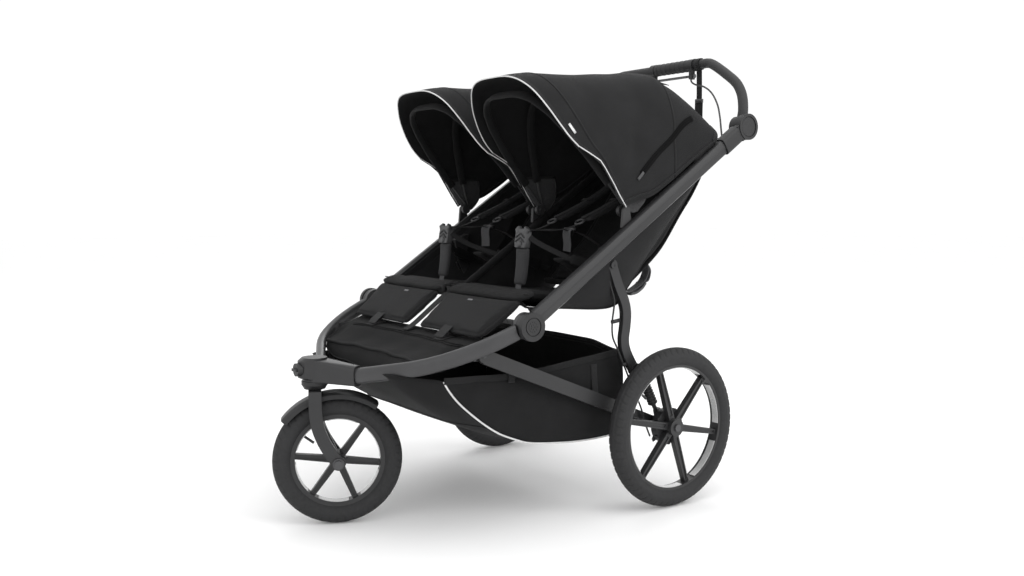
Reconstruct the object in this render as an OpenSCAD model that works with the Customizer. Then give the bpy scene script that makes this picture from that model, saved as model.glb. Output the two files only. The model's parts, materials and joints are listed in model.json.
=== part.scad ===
// Three-wheeled double jogging stroller: two side by side seats, swivelling front wheel,
// folding aluminium frame, two folding canopies, cargo basket and a tilting handlebar.
// Axes: +X is the stroller's left, -Y is forwards, +Z is up. Units are millimetres.

/* [Wheels] */
// Outer diameter of a rear tyre
rear_wheel_d = 391; // [385:1:397]
// Outer diameter of the front tyre
front_wheel_d = 298; // [292:1:300]
// Section width of every tyre
tyre_w = 47; // [42:1:48]
// Number of spokes in each wheel
spokes = 6; // [5:1:7]
// Distance from the centre plane to the middle of a rear wheel
rear_track = 371.6; // [371.6:0.1:374]
// Steering angle of the front fork at rest
fork_angle = -24; // [-30:1:30]

/* [Frame] */
// Depth of the side tubes
tube_d = 38; // [32:1:40]
// Width of the side tubes
tube_w = 24; // [20:1:24]
// Height of the fold hubs above the floor
hub_z = 473; // [473:1:474]
// Depth of the lower side tubes
lower_tube_d = 32; // [26:1:34]

/* [Handlebar] */
// Radius of the padded handlebar
bar_r = 13; // [11:0.5:13]
// Height of the handlebar above the floor
bar_z = 1119; // [1115:1:1123]

/* [Seats] */
// Width of one seat cushion
seat_w = 295; // [275:1:296]
// Thickness of the seat backs
back_t = 28; // [20:1:30]
// Thickness of the canopy fabric with its lining
canopy_t = 4; // [3:0.5:4]

/* [Basket] */
// Width of the cargo basket
basket_w = 584; // [540:2:600]
// Wall thickness of the cargo basket
basket_t = 5; // [4:1:6]

/* [Hidden] */
$fn = 48;
y0 = 267.71;                       // the rear axle's place along Y
e = 0.3;                        // gap between moving faces
H = [-431, hub_z];              // fold hub, in (Y, Z) from the rear axle
T = [250, hub_z + 460];         // handlebar hub
P = [-168, 596];                // rear leg's top bolt
A = [0, rear_wheel_d / 2];      // rear axle
L = [-520, 409];                // lower tube's front pivot
slope = atan2(T[1] - H[1], T[0] - H[0]);
side_x = 360;                   // middle of each side frame
steer_y = -772;                 // steering axis
trail = 50;
dark = [0.09, 0.09, 0.10];
frame_c = [0.16, 0.16, 0.17];
rim_c = [0.07, 0.07, 0.08];

// ---- helpers ----
function unit(v) = v / norm(v);
function cat(p, a, b, c, t) = 0.5 * (2 * a + (b - p) * t + (2 * p - 5 * a + 4 * b - c) * t * t + (3 * a - p - 3 * b + c) * t * t * t);
// a smooth run of points through the given ones, n steps a span
function smooth(q, n) = let (m = len(q) - 1) concat(
    [for (i = [0 : m - 1], k = [0 : n - 1]) cat(q[max(i - 1, 0)], q[i], q[i + 1], q[min(i + 2, m)], k / n)], [q[m]]);
function tangent(q, i) = unit(q[min(i + 1, len(q) - 1)] - q[max(i - 1, 0)]);
// outline of a strip of width w along a flat centre line
function strip(q, w) = concat(
    [for (i = [0 : len(q) - 1]) let (t = tangent(q, i)) q[i] + [-t[1], t[0]] * w / 2],
    [for (i = [len(q) - 1 : -1 : 0]) let (t = tangent(q, i)) q[i] - [-t[1], t[0]] * w / 2]);
// an oval, half sizes a and b, with squareness k
function oval(a, b, n, k = 2) = [for (i = [0 : n - 1]) let (c = cos(360 * i / n), s = sin(360 * i / n))
    [a * sign(c) * pow(abs(c), 2 / k), b * sign(s) * pow(abs(s), 2 / k)]];

// sweeps a flat section along a path; up gives the section's second axis
module sweep(path, sec, up = [0, 0, 1]) {
    n = len(sec); m = len(path);
    pts = [for (i = [0 : m - 1]) let (t = tangent(path, i), x = unit(cross(up, t)), y = cross(t, x))
        for (s = sec) path[i] + x * s[0] + y * s[1]];
    polyhedron(pts, concat([[for (k = [0 : n - 1]) k]],
        [for (i = [0 : m - 2], k = [0 : n - 1]) [(i + 1) * n + k, (i + 1) * n + (k + 1) % n, i * n + (k + 1) % n, i * n + k]],
        [[for (k = [n - 1 : -1 : 0]) (m - 1) * n + k]]));
}
// draws its children from the rear axle's frame
module at() translate([0, y0, 0]) children();
// mirrors for the right-hand side
module side(s) mirror([s < 0 ? 1 : 0, 0, 0]) children();
// a cylinder along X from xa to xb at (y, z)
module xcyl(xa, xb, p, r) translate([xa, p[0], p[1]]) rotate([0, 90, 0]) cylinder(h = xb - xa, r = r);
// a (Y, Z) outline, extruded along X from xa to xb
module slab(xa, xb, pts) translate([xa, 0, 0]) multmatrix_yz() linear_extrude(xb - xa) polygon(pts);
module multmatrix_yz() rotate([90, 0, 90]) children();

// ---- wheels ----
// turned about X, from a section in (radius, x)
module turned(pts, a = 360, a0 = 0) rotate([0, 90, 0]) rotate([0, 0, a0]) rotate_extrude(angle = a, $fn = 96) polygon(pts);
module tyre(R, bead) {
    r = tyre_w / 2;
    rotate([0, 90, 0]) rotate_extrude($fn = 96) difference() {
        translate([R - r, 0]) circle(r = r, $fn = 40);
        translate([0, -r - 1]) square([bead + e, 2 * r + 2]);
    }
}
module rim(bead, hub_r, hub_a, hub_b, bore, phase) {
    d = bead - 12;
    w = hub_r * 0.42;
    difference() {
        union() {
            turned([[d, -14], [bead, -15], [bead, -12], [bead - 5, -9], [bead - 5, 9], [bead, 12], [bead, 15], [d, 14]]);
            xcyl(hub_a, hub_b, [0, 0], hub_r);
            for (i = [0 : spokes - 1]) rotate([360 / spokes * i + phase, 0, 0]) {
                difference() {
                    slab(-8, 7, [[-w, hub_r - 5], [w, hub_r - 5], [6.2, d + 3], [-6.2, d + 3]]);
                    slab(4.5, 9, [[-w * 0.5, hub_r + 8], [w * 0.5, hub_r + 8], [3, d - 6], [-3, d - 6]]);
                }
            }
            rotate([360 / spokes * 0.5 + phase, 0, 0]) translate([0, 0, bead - 42]) cylinder(h = 32, r = 3);
        }
        xcyl(hub_a - 1, hub_b + 1, [0, 0], bore);
    }
}
module reflectors(d, phase) for (i = [0 : spokes - 1])
    turned([[d - 2.4, 3.6], [d - 0.3, 3.6], [d - 0.3, 13.6], [d - 2.4, 13.6]], 360 / spokes - 18, 360 / spokes * i + phase + 9);
rear_bead = rear_wheel_d / 2 - 35.5;
front_bead = front_wheel_d / 2 - 39;
module rear_rim(s) color(rim_c) at() side(s) translate([rear_track, A[0], A[1]]) difference() {
    rim(rear_bead, 21, -7, 18, 6.06, 18);
    xcyl(9, 19, [0, 0], 9.06);
}
module rear_tyre(s) color([0.13, 0.13, 0.13]) at() side(s) translate([rear_track, A[0], A[1]]) tyre(rear_wheel_d / 2, rear_bead);
module rear_reflectors(s) color([0.8, 0.8, 0.8]) at() side(s) translate([rear_track, A[0], A[1]]) reflectors(rear_bead - 12, 18);
module hub_button(s) color([0.35, 0.35, 0.36]) at() side(s) translate([rear_track, A[0], A[1]]) {
    xcyl(13, 22, [0, 0], 9);
    difference() { xcyl(18.5, 22, [0, 0], 9); xcyl(21, 23, [0, 0], 5); }
}
// the fork and front wheel, in their own frame, turned about the steering axis
module steered() at() translate([0, steer_y, 0]) rotate([0, 0, fork_angle]) children();
module in_front_wheel() steered() translate([0, trail, front_wheel_d / 2]) children();
module front_rim() color(rim_c) in_front_wheel() rim(front_bead, 19, -24, 24, 6.06, 23);
module front_tyre() color([0.13, 0.13, 0.13]) in_front_wheel() tyre(front_wheel_d / 2, front_bead);
module front_reflectors() color([0.8, 0.8, 0.8]) in_front_wheel() reflectors(front_bead - 12, 23);
module front_axle() color([0.2, 0.2, 0.2]) in_front_wheel() {
    xcyl(-55, 55, [0, 0], 6);
    for (s = [-1, 1]) side(s) { xcyl(45.2, 50, [0, 0], 13); xcyl(50, 56, [0, 0], 9); }
}
fork_line = smooth([[0, 316], [0, 290], [1, 262], [6, 232], [18, 200], [34, 172], [trail, front_wheel_d / 2]], 3);
module fork() color(frame_c) steered() {
    difference() {
        union() {
            for (s = [-1, 1]) side(s) {
                slab(32, 45, strip(fork_line, 29));
                xcyl(31, 45, [trail, front_wheel_d / 2], 16);
            }
            translate([-45, -14.5, 303]) cube([90, 29, 13]);
        }
        for (s = [-1, 1]) side(s) xcyl(30, 46, [trail, front_wheel_d / 2], 6.05);
    }
    translate([0, 0, 303]) cylinder(h = 80, r = 14);
}
// an arc of a section about X, from angle a0 to a1 measured up from +Y
module arc_x(a0, a1, pts) rotate([a0, 0, 0]) rotate([90, 0, 90])
    rotate_extrude(angle = a1 - a0, $fn = 96) polygon(pts);
module fender() color(dark) in_front_wheel()
    arc_x(54, 142, [[front_wheel_d / 2 + 7, -28], [front_wheel_d / 2 + 12, -22], [front_wheel_d / 2 + 13, 0], [front_wheel_d / 2 + 12, 22], [front_wheel_d / 2 + 7, 28],
        [front_wheel_d / 2 - 3, 29.5], [front_wheel_d / 2 - 3, 27.5], [front_wheel_d / 2 + 5, 26], [front_wheel_d / 2 + 9, 20], [front_wheel_d / 2 + 10, 0], [front_wheel_d / 2 + 9, -20], [front_wheel_d / 2 + 5, -26], [front_wheel_d / 2 - 3, -27.5], [front_wheel_d / 2 - 3, -29.5]]);

// ---- front frame ----
in_dir = unit([-cos(25), -sin(25), -sin(25) * 0.4245]);
function plane_z(y) = hub_z + 0.4245 * (y - H[0]);
curve = concat(
    [[side_x, H[0], hub_z]],
    [for (a = [2 : 7 : 65]) let (y = H[0] - 250 * sin(a)) [110 + 250 * cos(a), y, plane_z(y)]],
    [for (x = [170, 130, 99]) let (y = -657.6 - (215.7 - x) * 0.4663) [x, y, plane_z(y)]]);
module front_tube(s) color([0.25, 0.25, 0.26]) at() side(s) {
    difference() {
        union() {
            difference() {
                sweep(curve, oval(tube_w / 2, tube_d / 2 - 1, 16, 2.6), up = [0, 0, 1]);
                xcyl(side_x - e, side_x + 30, H, 35);
            }
            xcyl(side_x - 12, side_x - e, H, 30);
        }
        xcyl(side_x - 20, side_x + 20, H, 8.05);
    }
    difference() {
        slab(306.3, 309.6, [[-562, 404], [-534, 398], [-520, 395], [-506, 404], [-506, 418], [-520, 424], [-562, 424]]);
        xcyl(300, 312, L, 3.9);
    }
    slab(309.6, 324, [[-562, 404], [-543, 400], [-543, 424], [-562, 424]]);
    xcyl(306.3, 327, L, 4);
}
module fold_hubs() color([0.12, 0.12, 0.12]) at() for (s = [-1, 1]) side(s) {
    xcyl(side_x - 18, side_x + 13, H, 8);
    xcyl(side_x - 18, side_x - 12, H, 14);
    difference() {
        xcyl(side_x + 12 + e, side_x + 24, H, 32);
        xcyl(side_x + 21.5, side_x + 25, H, 21);
    }
    xcyl(side_x + 21, side_x + 23.5, H, 18.5);
    for (r = [5, 11], i = [0 : r - 1]) translate([0, r * cos(360 * i / r), r * sin(360 * i / r)])
        xcyl(side_x + 23, side_x + 24.3, H, 1.6);
}
module sleeve_end(x, w, h) let (y = -657.6 - (215.7 - x) * 0.4663) translate([x, y, plane_z(y) + (x < 60 ? 4 : 0)])
    rotate([0, 0, -65]) rotate([90, 0, 0]) linear_extrude(3, center = true) polygon(oval(w / 2, h / 2, 20, 3));
module front_head() color(frame_c) at() difference() {
    union() {
        for (s = [-1, 1]) hull() {
            side(s) sleeve_end(98, 31, 47);
            translate([0, steer_y, 336]) cylinder(h = 50, r = 27, $fn = 32);
        }
        hull() {
            translate([0, steer_y, 340]) cylinder(h = 50, r = 29, $fn = 32);
            translate([0, steer_y - 14, 345]) cylinder(h = 38, r = 25, $fn = 32);
        }
    }
    translate([0, steer_y, 300]) cylinder(h = 84, r = 14.06);
    translate([0, steer_y - 34, 364]) rotate([90, 0, 0]) cylinder(h = 20, r = 16);
}
module head_collar() color(dark) at() difference() {
    union() {
        translate([0, steer_y, 326]) cylinder(h = 10, r = 30);
        translate([0, steer_y, 317]) cylinder(h = 9, r1 = 24, r2 = 29);
    }
    translate([0, steer_y, 300]) cylinder(h = 60, r = 14.06);
}
module swivel_lock_knob() color([0.2, 0.2, 0.2]) at() translate([0, steer_y - 34 - e, 364]) rotate([90, 0, 0]) {
    cylinder(h = 12, r = 15);
    translate([-11, -3, 12]) cube([22, 6, 5]);
}
module footwell() color(dark) at() difference() {
    slab(-296, 296, [[-516, 430], [-546, 424], [-566, 404], [-600, 385], [-652, 373], [-690, 378], [-694, 384], [-652, 379], [-602, 391], [-569, 410], [-549, 430], [-517, 436]]);
    for (s = [-1, 1]) side(s) translate([110, -431, 300]) difference() {
        translate([-20, -330, 0]) cube([300, 330, 200]);
        cylinder(h = 200, r = 228);
    }
    translate([0, steer_y, 300]) cylinder(h = 100, r = 84);
}

// ---- upper frame ----
module along_tube(a, b) translate([0, H[0], H[1]]) rotate([slope, 0, 0]) translate([0, a, 0]) rotate([-90, 0, 0])
    linear_extrude(b - a) children();
tube_len = norm(T - H);
module upper_tube(s) color([0.2, 0.2, 0.21]) at() side(s) {
    difference() {
        union() {
            difference() {
                along_tube(14, tube_len - 34) translate([side_x, 0])
                    polygon([[-tube_w / 2, -tube_d / 2 + 6], [-tube_w / 2 + 6, -tube_d / 2], [tube_w / 2 - 7, -tube_d / 2], [tube_w / 2 - 2, -tube_d / 2 + 3],
                        [tube_w / 2, -3], [tube_w / 2, 1], [tube_w / 2 - 2, tube_d / 2 - 4], [tube_w / 2 - 7, tube_d / 2], [-tube_w / 2 + 6, tube_d / 2], [-tube_w / 2, tube_d / 2 - 6]]);
                xcyl(side_x - 40, side_x + e, H, 35);
            }
            xcyl(side_x + e, side_x + 12, H, 30);
        }
        xcyl(side_x - 20, side_x + 20, H, 8.05);
    }
    // canopy clip on the tube
    slab(351, 358, [[-156, 684], [-128, 703], [-132, 726], [-138, 733], [-146, 733], [-152, 726]]);
    xcyl(335, 352, [-142, 723], 4);
}
module handle_hubs() color([0.12, 0.12, 0.12]) at() for (s = [-1, 1]) side(s) {
    difference() {
        union() {
            xcyl(side_x + e, side_x + 17, T, 33);
            along_tube(tube_len - 95, tube_len - 32) translate([side_x, 0]) difference() {
                polygon(oval(tube_w / 2 + 3, tube_d / 2 + 3, 24, 4));
                polygon([[-tube_w / 2, -tube_d / 2], [tube_w / 2, -tube_d / 2], [tube_w / 2, tube_d / 2], [-tube_w / 2, tube_d / 2]]);
            }
            along_tube(tube_len - 34, tube_len - 20) translate([side_x + e, -tube_d / 2 - 2]) square([tube_w / 2 + 2, tube_d + 4]);
        }
        along_tube(tube_len - 90, tube_len - 34) translate([side_x - tube_w / 2, -tube_d / 2]) square([tube_w, tube_d]);
        xcyl(side_x + 14, side_x + 20, T, 26);
    }
    xcyl(side_x + 14, side_x + 15.5, T, 24);
    xcyl(side_x - 26, side_x + 2, T, 8);
}
module leg_brackets() color(frame_c) at() for (s = [-1, 1]) side(s) {
    slab(316, 326, [[P[0] - 15, P[1] - 2], [P[0] - 10, P[1] - 12], [P[0], P[1] - 16], [P[0] + 10, P[1] - 12], [P[0] + 15, P[1] - 2], [P[0] + 22, 652], [P[0] - 26, 636]]);
    slab(326, side_x - tube_w / 2, [[P[0] - 24, 632], [P[0] + 20, 640], [P[0] + 22, 652], [P[0] - 26, 636]]);
}
module cross_tube() color(frame_c) at() xcyl(-side_x + 15, side_x - 15, [205, hub_z + 424], 10);
pan = [[-406, 512], [-392, 505], [-282, 503], [-190, 497], [-128, 501], [-122, 518], [-190, 526], [-282, 534], [-360, 545], [-390, 550], [-408, 544], [-413, 533]];
function lip(p) = [for (q = p) [q[0], q[1]]];
module seat_pan(s) color(dark) at() side(s) slab(8, 8 + seat_w, pan);
module leg_pad(s) color(dark) at() side(s) slab(22, 303, [[-419, 533], [-426, 534], [-448, 515], [-498, 477], [-527, 453], [-529, 444], [-521, 438], [-490, 456], [-440, 494], [-414, 515]]);
module side_wall(s) color(dark) at() side(s) {
    slab(306.3, 311, [[-409, 514], [-394, 507], [-342, 506], [-282, 502], [-190, 495], [-126, 505], [-74, 560], [-40, 600], [80, 740], [140, 820], [150, 850],
        [100, 834], [-100, 698], [-190, 636], [-330, 545], [-392, 553], [-411, 546]]);
    difference() {
        translate([0, H[0], H[1]]) rotate([slope, 0, 0]) translate([311, 130, 8]) cube([36.6, 560, 3]);
        translate([330, -200, 630]) cube([30, 66, 40]);
    }
}
module centre_divider() color(dark) at() {
    slab(-4, 4, [[-408, 516], [-282, 504], [-126, 505], [-74, 560], [80, 740], [150, 850], [100, 834], [-100, 698], [-330, 548], [-396, 556], [-410, 546]]);
    translate([0, H[0], H[1]]) rotate([slope, 0, 0]) translate([0, 70, 12]) rotate([-90, 0, 0]) translate([0, 0, 0]) cylinder(h = 560, r = 7.5);
    slab(-2.7, 2.7, [[-154, 690], [-128, 708], [-132, 726], [-138, 733], [-146, 733], [-152, 726]]);
    xcyl(-23, 23, [-142, 723], 4);
}
back = [[-102, 526], [-38, 582], [22, 632], [86, 714], [128, 766], [166, 826], [174, 858], [152, 868]];
module seat_back(s) color(dark) at() side(s) {
    // the rolled seam that the back reclines on
    xcyl(8, 8 + seat_w, [-114, 537], 9);
    slab(8, 8 + seat_w, concat(back,
    [[136, 838], [100, 782], [58, 728], [-2, 650], [-60, 600], [-124, 546], [-116, 532]]));
}
module back_cover() color(dark) at() for (s = [-1, 1]) side(s) slab(16, 302, [[112, 880], [150, 898], [194, 908], [194, 902], [152, 892], [116, 875]]);
module buckles() color([0.2, 0.2, 0.2]) at() for (s = [-1, 1]) side(s) translate([176, -309, 628.5]) rotate([8, 0, 0]) {
    translate([-22, -10, 0]) cube([44, 18, 44]);
    translate([0, -10, 22]) rotate([90, 0, 0]) cylinder(h = 3, r = 13);
    for (t = [-1, 1]) translate([t * 20 - 7, -6, 38]) cube([14, 10, 22]);
}
module crotch_pads() color([0.16, 0.16, 0.16]) at() for (s = [-1, 1]) side(s)
    slab(152, 200, [[-329, 541.8], [-311, 539.4], [-302, 590], [-300, 623], [-319, 625], [-322, 590]]);
module harness(s) color([0.1, 0.1, 0.1]) at() side(s) {
    for (x = [122, 231]) {
        slab(x - 19, x + 19, strip([[120, 856], [92, 836], [30, 790], [-40, 750], [-110, 718], [-168, 698]], 10));
        slab(x - 9, x + 9, strip([[-166, 698], [-194, 686], [-232, 676]], 4));
        slab(x - 16, x + 16, [[-182, 688], [-172, 690], [-176, 702], [-186, 700]]);
    }
    for (x = [34, 280]) slab(x - 12, x + 12, strip([[-96, 606], [-120, 600], [-150, 588]], 4));
}
module recline_straps() color([0.32, 0.32, 0.32]) at() for (s = [-1, 1]) side(s) {
    slab(240, 266, strip(smooth([[-80, 529], [-62, 521], [-34, 524], [4, 546], [18, 576], [9, 592]], 3), 3.5));
    slab(236, 270, [[-34, 517], [-8, 530], [-12, 538], [-38, 526]]);
}

// ---- canopies ----
// each station is [foot y, foot z, crown y, crown z]
stations = [[-149, 732, -404, 1028], [-147, 733, -350, 1040], [-136, 738, -256, 1043], [-112, 746, -156, 1050], [-66, 758, -70, 1060],
    [-10, 790, -4, 1068], [40, 824, 36, 1050], [90, 858, 84, 1018], [122, 880, 130, 980], [138, 892, 168, 944]];
function arch(st, x0, x1, t, n) = let (xm = (x0 + x1) / 2, w = (x1 - x0) / 2 - t)
    [for (i = [0 : n]) let (a = 180 * i / n, c = cos(a), h = pow(sin(a), 0.8), f = 1 - t / 300)
        [xm - w * sign(c) * pow(abs(c), 0.58), st[0] + (st[2] - st[0]) * h * f, st[1] + (st[3] - st[1]) * h * f]];
module shell(st, x0, x1, t, n) {
    m = len(st);
    outer = [for (s = st) for (q = arch(s, x0, x1, 0, n)) q];
    inner = [for (s = st) for (q = arch(s, x0, x1, t, n)) q];
    k = n + 1; o = m * k;
    polyhedron(concat(outer, inner), concat(
        [for (i = [0 : m - 2], j = [0 : n - 1]) each [[i * k + j, i * k + j + 1, (i + 1) * k + j + 1], [i * k + j, (i + 1) * k + j + 1, (i + 1) * k + j]]],
        [for (i = [0 : m - 2], j = [0 : n - 1]) each [[o + i * k + j, o + (i + 1) * k + j + 1, o + i * k + j + 1], [o + i * k + j, o + (i + 1) * k + j, o + (i + 1) * k + j + 1]]],
        [for (j = [0 : n - 1]) each [[j, o + j, o + j + 1], [j, o + j + 1, j + 1]]],
        [for (j = [0 : n - 1]) let (b = (m - 1) * k) each [[b + j, b + j + 1, o + b + j + 1], [b + j, o + b + j + 1, o + b + j]]],
        [for (i = [0 : m - 2]) each [[i * k, (i + 1) * k, o + (i + 1) * k], [i * k, o + (i + 1) * k, o + i * k]]],
        [for (i = [0 : m - 2]) each [[i * k + n, o + i * k + n, o + (i + 1) * k + n], [i * k + n, o + (i + 1) * k + n, (i + 1) * k + n]]]));
}
module canopy(s) color(dark) at() side(s) shell(stations, 3, 364, canopy_t, 24);
module canopy_bows(s) color([0.1, 0.1, 0.1]) at() side(s) {
    for (b = [[-132, 728, -378, 1002], [-132, 732, -215, 1024]])
        sweep(arch(b, 6, 354, 12, 20), oval(3.5, 3.5, 8), up = unit([0, -1, -0.3]));
    for (x = [[14, 24], [334, 343.6]]) difference() {
        xcyl(x[0], x[1], [-142, 723], 13);
        xcyl(x[0] - 1, x[1] + 1, [-142, 723], 4.06);
    }
}

// ---- handlebar ----
bar_y = 312;
riser = smooth([[168, bar_y, bar_z], [184, bar_y - 1, bar_z - 3], [208, bar_y - 5, bar_z - 14], [252, bar_y - 13, bar_z - 39], [297, bar_y - 23, bar_z - 68], [326, bar_y - 34, bar_z - 102], [343, bar_y - 48, bar_z - 144], [344.5, T[0] + 4, T[1] + 12]], 4);
module handlebar() color([0.13, 0.13, 0.13]) at() {
    xcyl(-168, 168, [bar_y, bar_z], bar_r);
    for (s = [-1, 1]) side(s) difference() {
        union() {
            sweep(riser, oval(bar_r, bar_r, 16), up = [0, 1, 0]);
            xcyl(side_x - 26, side_x - e, T, 28);
        }
        xcyl(side_x - 30, side_x + 2, T, 8.05);
        translate([side_x - e, T[0] - 40, T[1] - 40]) cube([30, 80, 80]);
    }
}
module brake_grip() color([0.08, 0.08, 0.08]) at() translate([-26, bar_y, bar_z]) rotate([0, 90, 0]) difference() {
    union() {
        cylinder(h = 129, r = 16);
        for (i = [0 : 6]) translate([0, 0, 8 + i * 18]) cylinder(h = 5, r = 16.6);
    }
    translate([0, 0, -1]) cylinder(h = 140, r = bar_r + 0.06);
}
module brake_collar() color([0.1, 0.1, 0.1]) at() difference() {
    union() {
        for (x = [[-44, -26.4], [103.4, 125]]) xcyl(x[0], x[1], [bar_y, bar_z], 17);
        for (x = [[-40, -32], [108, 116]]) translate([x[0], bar_y - 8, bar_z - 38]) cube([x[1] - x[0], 16, 24]);
        translate([121, bar_y - 10, bar_z - 26]) cylinder(h = 16, r = 3);
    }
    xcyl(-60, 140, [bar_y, bar_z], bar_r);
    for (x = [[-41, -31], [107, 117]]) translate([x[0], bar_y - 4, bar_z - 34]) cube([x[1] - x[0], 8, 16]);
}
module release_bar() color([0.25, 0.25, 0.25]) at() {
    xcyl(-44, 120, [bar_y, bar_z - 29.5], 3.6);
    for (x = [-47, 120]) xcyl(x, x + 3, [bar_y, bar_z - 29.5], 6);
    translate([-20, bar_y - 6, bar_z - 31.5]) cube([114, 12, 3.5]);
}
module wrist_strap() color([0.1, 0.1, 0.1]) at() {
    difference() { xcyl(130, 150, [bar_y, bar_z], 15.4); xcyl(128, 152, [bar_y, bar_z], bar_r + 0.1); }
    translate([131, bar_y - 2, bar_z - 100]) cube([18, 4, 86]);
    translate([129, bar_y - 4, bar_z - 106]) cube([22, 8, 9]);
    translate([127, bar_y - 3, bar_z - 166]) cube([26, 6, 62]);
}
cable_a = [[121, 302, 1093], [121, 300, 1082], [127, 297, 1071], [146, 294, 1062], [180, 291, 1053], [226, 272, 1031], [272, 245, 997], [306, 219, 961], [328, 200, 932], [341, 190, 908]];
module brake_cable_upper() color([0.05, 0.05, 0.05]) at() sweep(smooth(cable_a, 3), oval(2.4, 2.4, 8), up = [0, 1, 0]);

// ---- lower frame ----
low_dir = unit(A - L);
module lower_tube(s) color([0.22, 0.22, 0.23]) at() side(s) {
    a = atan2(low_dir[1], low_dir[0]); n = norm(A - L);
    difference() {
        union() {
            translate([0, L[0], L[1]]) rotate([a, 0, 0]) translate([310, 0, 0]) rotate([0, 90, 0]) linear_extrude(15.6)
                polygon([[-lower_tube_d / 2 + 3, -4], [-lower_tube_d / 2, 6], [-lower_tube_d / 2, n - 150], [-lower_tube_d / 2 + 3, n - 140], [-lower_tube_d / 2 + 3, n],
                    [lower_tube_d / 2 - 3, n], [lower_tube_d / 2 - 3, n - 140], [lower_tube_d / 2, n - 150], [lower_tube_d / 2, 6], [lower_tube_d / 2 - 3, -4]]);
            xcyl(310, 325.6, L, 14);
            xcyl(310, 325.6, A, 18);
        }
        xcyl(309, 327, L, 4.06);
        xcyl(300, 330, A, 11);
    }
}
module rear_axle() color([0.15, 0.15, 0.15]) at() {
    xcyl(-325.6, 325.6, A, 11);
    for (s = [-1, 1]) side(s) { xcyl(325.6, 343, A, 8); xcyl(343, 380, A, 6); }
}
module brake_drums() color([0.07, 0.07, 0.07]) at() for (s = [-1, 1]) side(s) difference() {
    union() {
        xcyl(342.5, 363.2, A, 43);
        for (i = [0 : 11]) translate([0, A[0], A[1]]) rotate([30 * i, 0, 0]) translate([352, -3, 40]) cube([11, 6, 6]);
    }
    xcyl(362, 364, A, 24);
    xcyl(340, 365, A, 8.3);
}
module brake_arms() color([0.25, 0.25, 0.25]) at() for (s = [-1, 1]) side(s) difference() {
    slab(340.2, 342.2, [[A[0] - 14, A[1] + 8], [A[0], A[1] + 16], [A[0] + 14, A[1] + 8], [A[0] + 14, A[1] - 8], [A[0] + 2, A[1] - 15], [-24, 160], [-34, 156], [-38, 164], [-34, 172], [-14, A[1] - 8]]);
    xcyl(339, 343, A, 8.06);
}
bask = [[-604, 358], [-592, 338], [-565, 306], [-516, 264], [-464, 228], [-412, 205], [-376, 193], [-313, 184], [-228, 177], [-140, 178], [-96, 182], [-98, 296], [-112, 380], [-343, 366], [-454, 362]];
bask_in = [[-610, 362], [-588, 342], [-560, 311], [-512, 269], [-461, 233], [-410, 210], [-375, 198], [-313, 189], [-228, 182], [-140, 183], [-101, 187], [-103, 296], [-118, 420], [-350, 420], [-610, 420]];
module basket() color(dark) at() difference() {
    slab(-basket_w / 2, basket_w / 2, bask);
    slab(-basket_w / 2 + basket_t, basket_w / 2 - basket_t, bask_in);
}

// ---- rear legs ----
// the suspension strut's frame: Z runs from the axle up to the leg, a is the distance along it
module strut(a) translate([334.5, A[0], A[1]]) rotate([28, 0, 0]) translate([0, 0, a]) children();
leg_line = smooth([P, [-150, 551], [-129, 509], [-122, 479], [-124, 446], [-128, 419], [-124, 393], [-107, 361], [-84, 330], [-64, 316]], 3);
module rear_legs() color(frame_c) at() for (s = [-1, 1]) side(s) {
    difference() {
        union() {
            slab(327, 341, strip(leg_line, 25));
            xcyl(327, 341, P, 14);
            xcyl(327, 338, A, 16);
            xcyl(327, 346, [-92, 342], 15);
            strut(8) cylinder(h = 124, r = 5.4);
            strut(118) cylinder(h = 14, r = 12);
            slab(327, 338, [[-22, 232], [-8, 238], [14, A[1] + 4], [-14, A[1] + 2]]);
        }
        xcyl(320, 350, A, 8.06);
        xcyl(320, 350, P, 5);
    }
    xcyl(326.4, 343, P, 5);
    difference() { xcyl(341, 345, P, 8.5); translate([344, P[0], P[1]]) rotate([0, 90, 0]) cylinder(h = 4, r = 4, $fn = 6); }
}
module suspension_bellows() color([0.05, 0.05, 0.05]) at() for (s = [-1, 1]) side(s)
    strut(62) rotate_extrude() polygon(concat([[5.6, 0]], [for (i = [0 : 6]) each [[9.5, i * 8], [12.4, i * 8 + 2.5], [12.4, i * 8 + 4.5], [9.5, i * 8 + 7]]], [[5.6, 55]]));
cable_b = [[-178, 570], [-166, 540], [-157, 508], [-163, 461], [-161, 425], [-146, 396], [-126, 356], [-107, 318], [-88, 282], [-68, 243], [-54, 204], [-38, 170]];
module brake_cable_lower() color([0.05, 0.05, 0.05]) at() for (s = [-1, 1]) side(s)
    sweep(smooth([for (q = cable_b) [334, q[0], q[1]]], 2), oval(2.2, 2.2, 8), up = [1, 0, 0]);

front_tube(1);  // front_tube_left
front_tube(-1);  // front_tube_right
front_head();
head_collar();
fold_hubs();
footwell();
swivel_lock_knob();
fork();
fender();
front_axle();
front_rim();
front_tyre();
front_reflectors();
rear_rim(1);  // rear_rim_left
rear_tyre(1);  // rear_tyre_left
rear_reflectors(1);  // rear_reflectors_left
rear_rim(-1);  // rear_rim_right
rear_tyre(-1);  // rear_tyre_right
rear_reflectors(-1);  // rear_reflectors_right
hub_button(1);  // hub_button_left
hub_button(-1);  // hub_button_right
upper_tube(1);  // upper_tube_left
upper_tube(-1);  // upper_tube_right
handle_hubs();
leg_brackets();
cross_tube();
seat_pan(1);  // seat_pan_left
seat_pan(-1);  // seat_pan_right
leg_pad(1);  // leg_pad_left
leg_pad(-1);  // leg_pad_right
side_wall(1);  // side_wall_left
side_wall(-1);  // side_wall_right
centre_divider();
back_cover();
buckles();
crotch_pads();
seat_back(1);  // seat_back_left
seat_back(-1);  // seat_back_right
harness(1);  // harness_left
harness(-1);  // harness_right
recline_straps();
canopy(1);  // canopy_left
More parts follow.
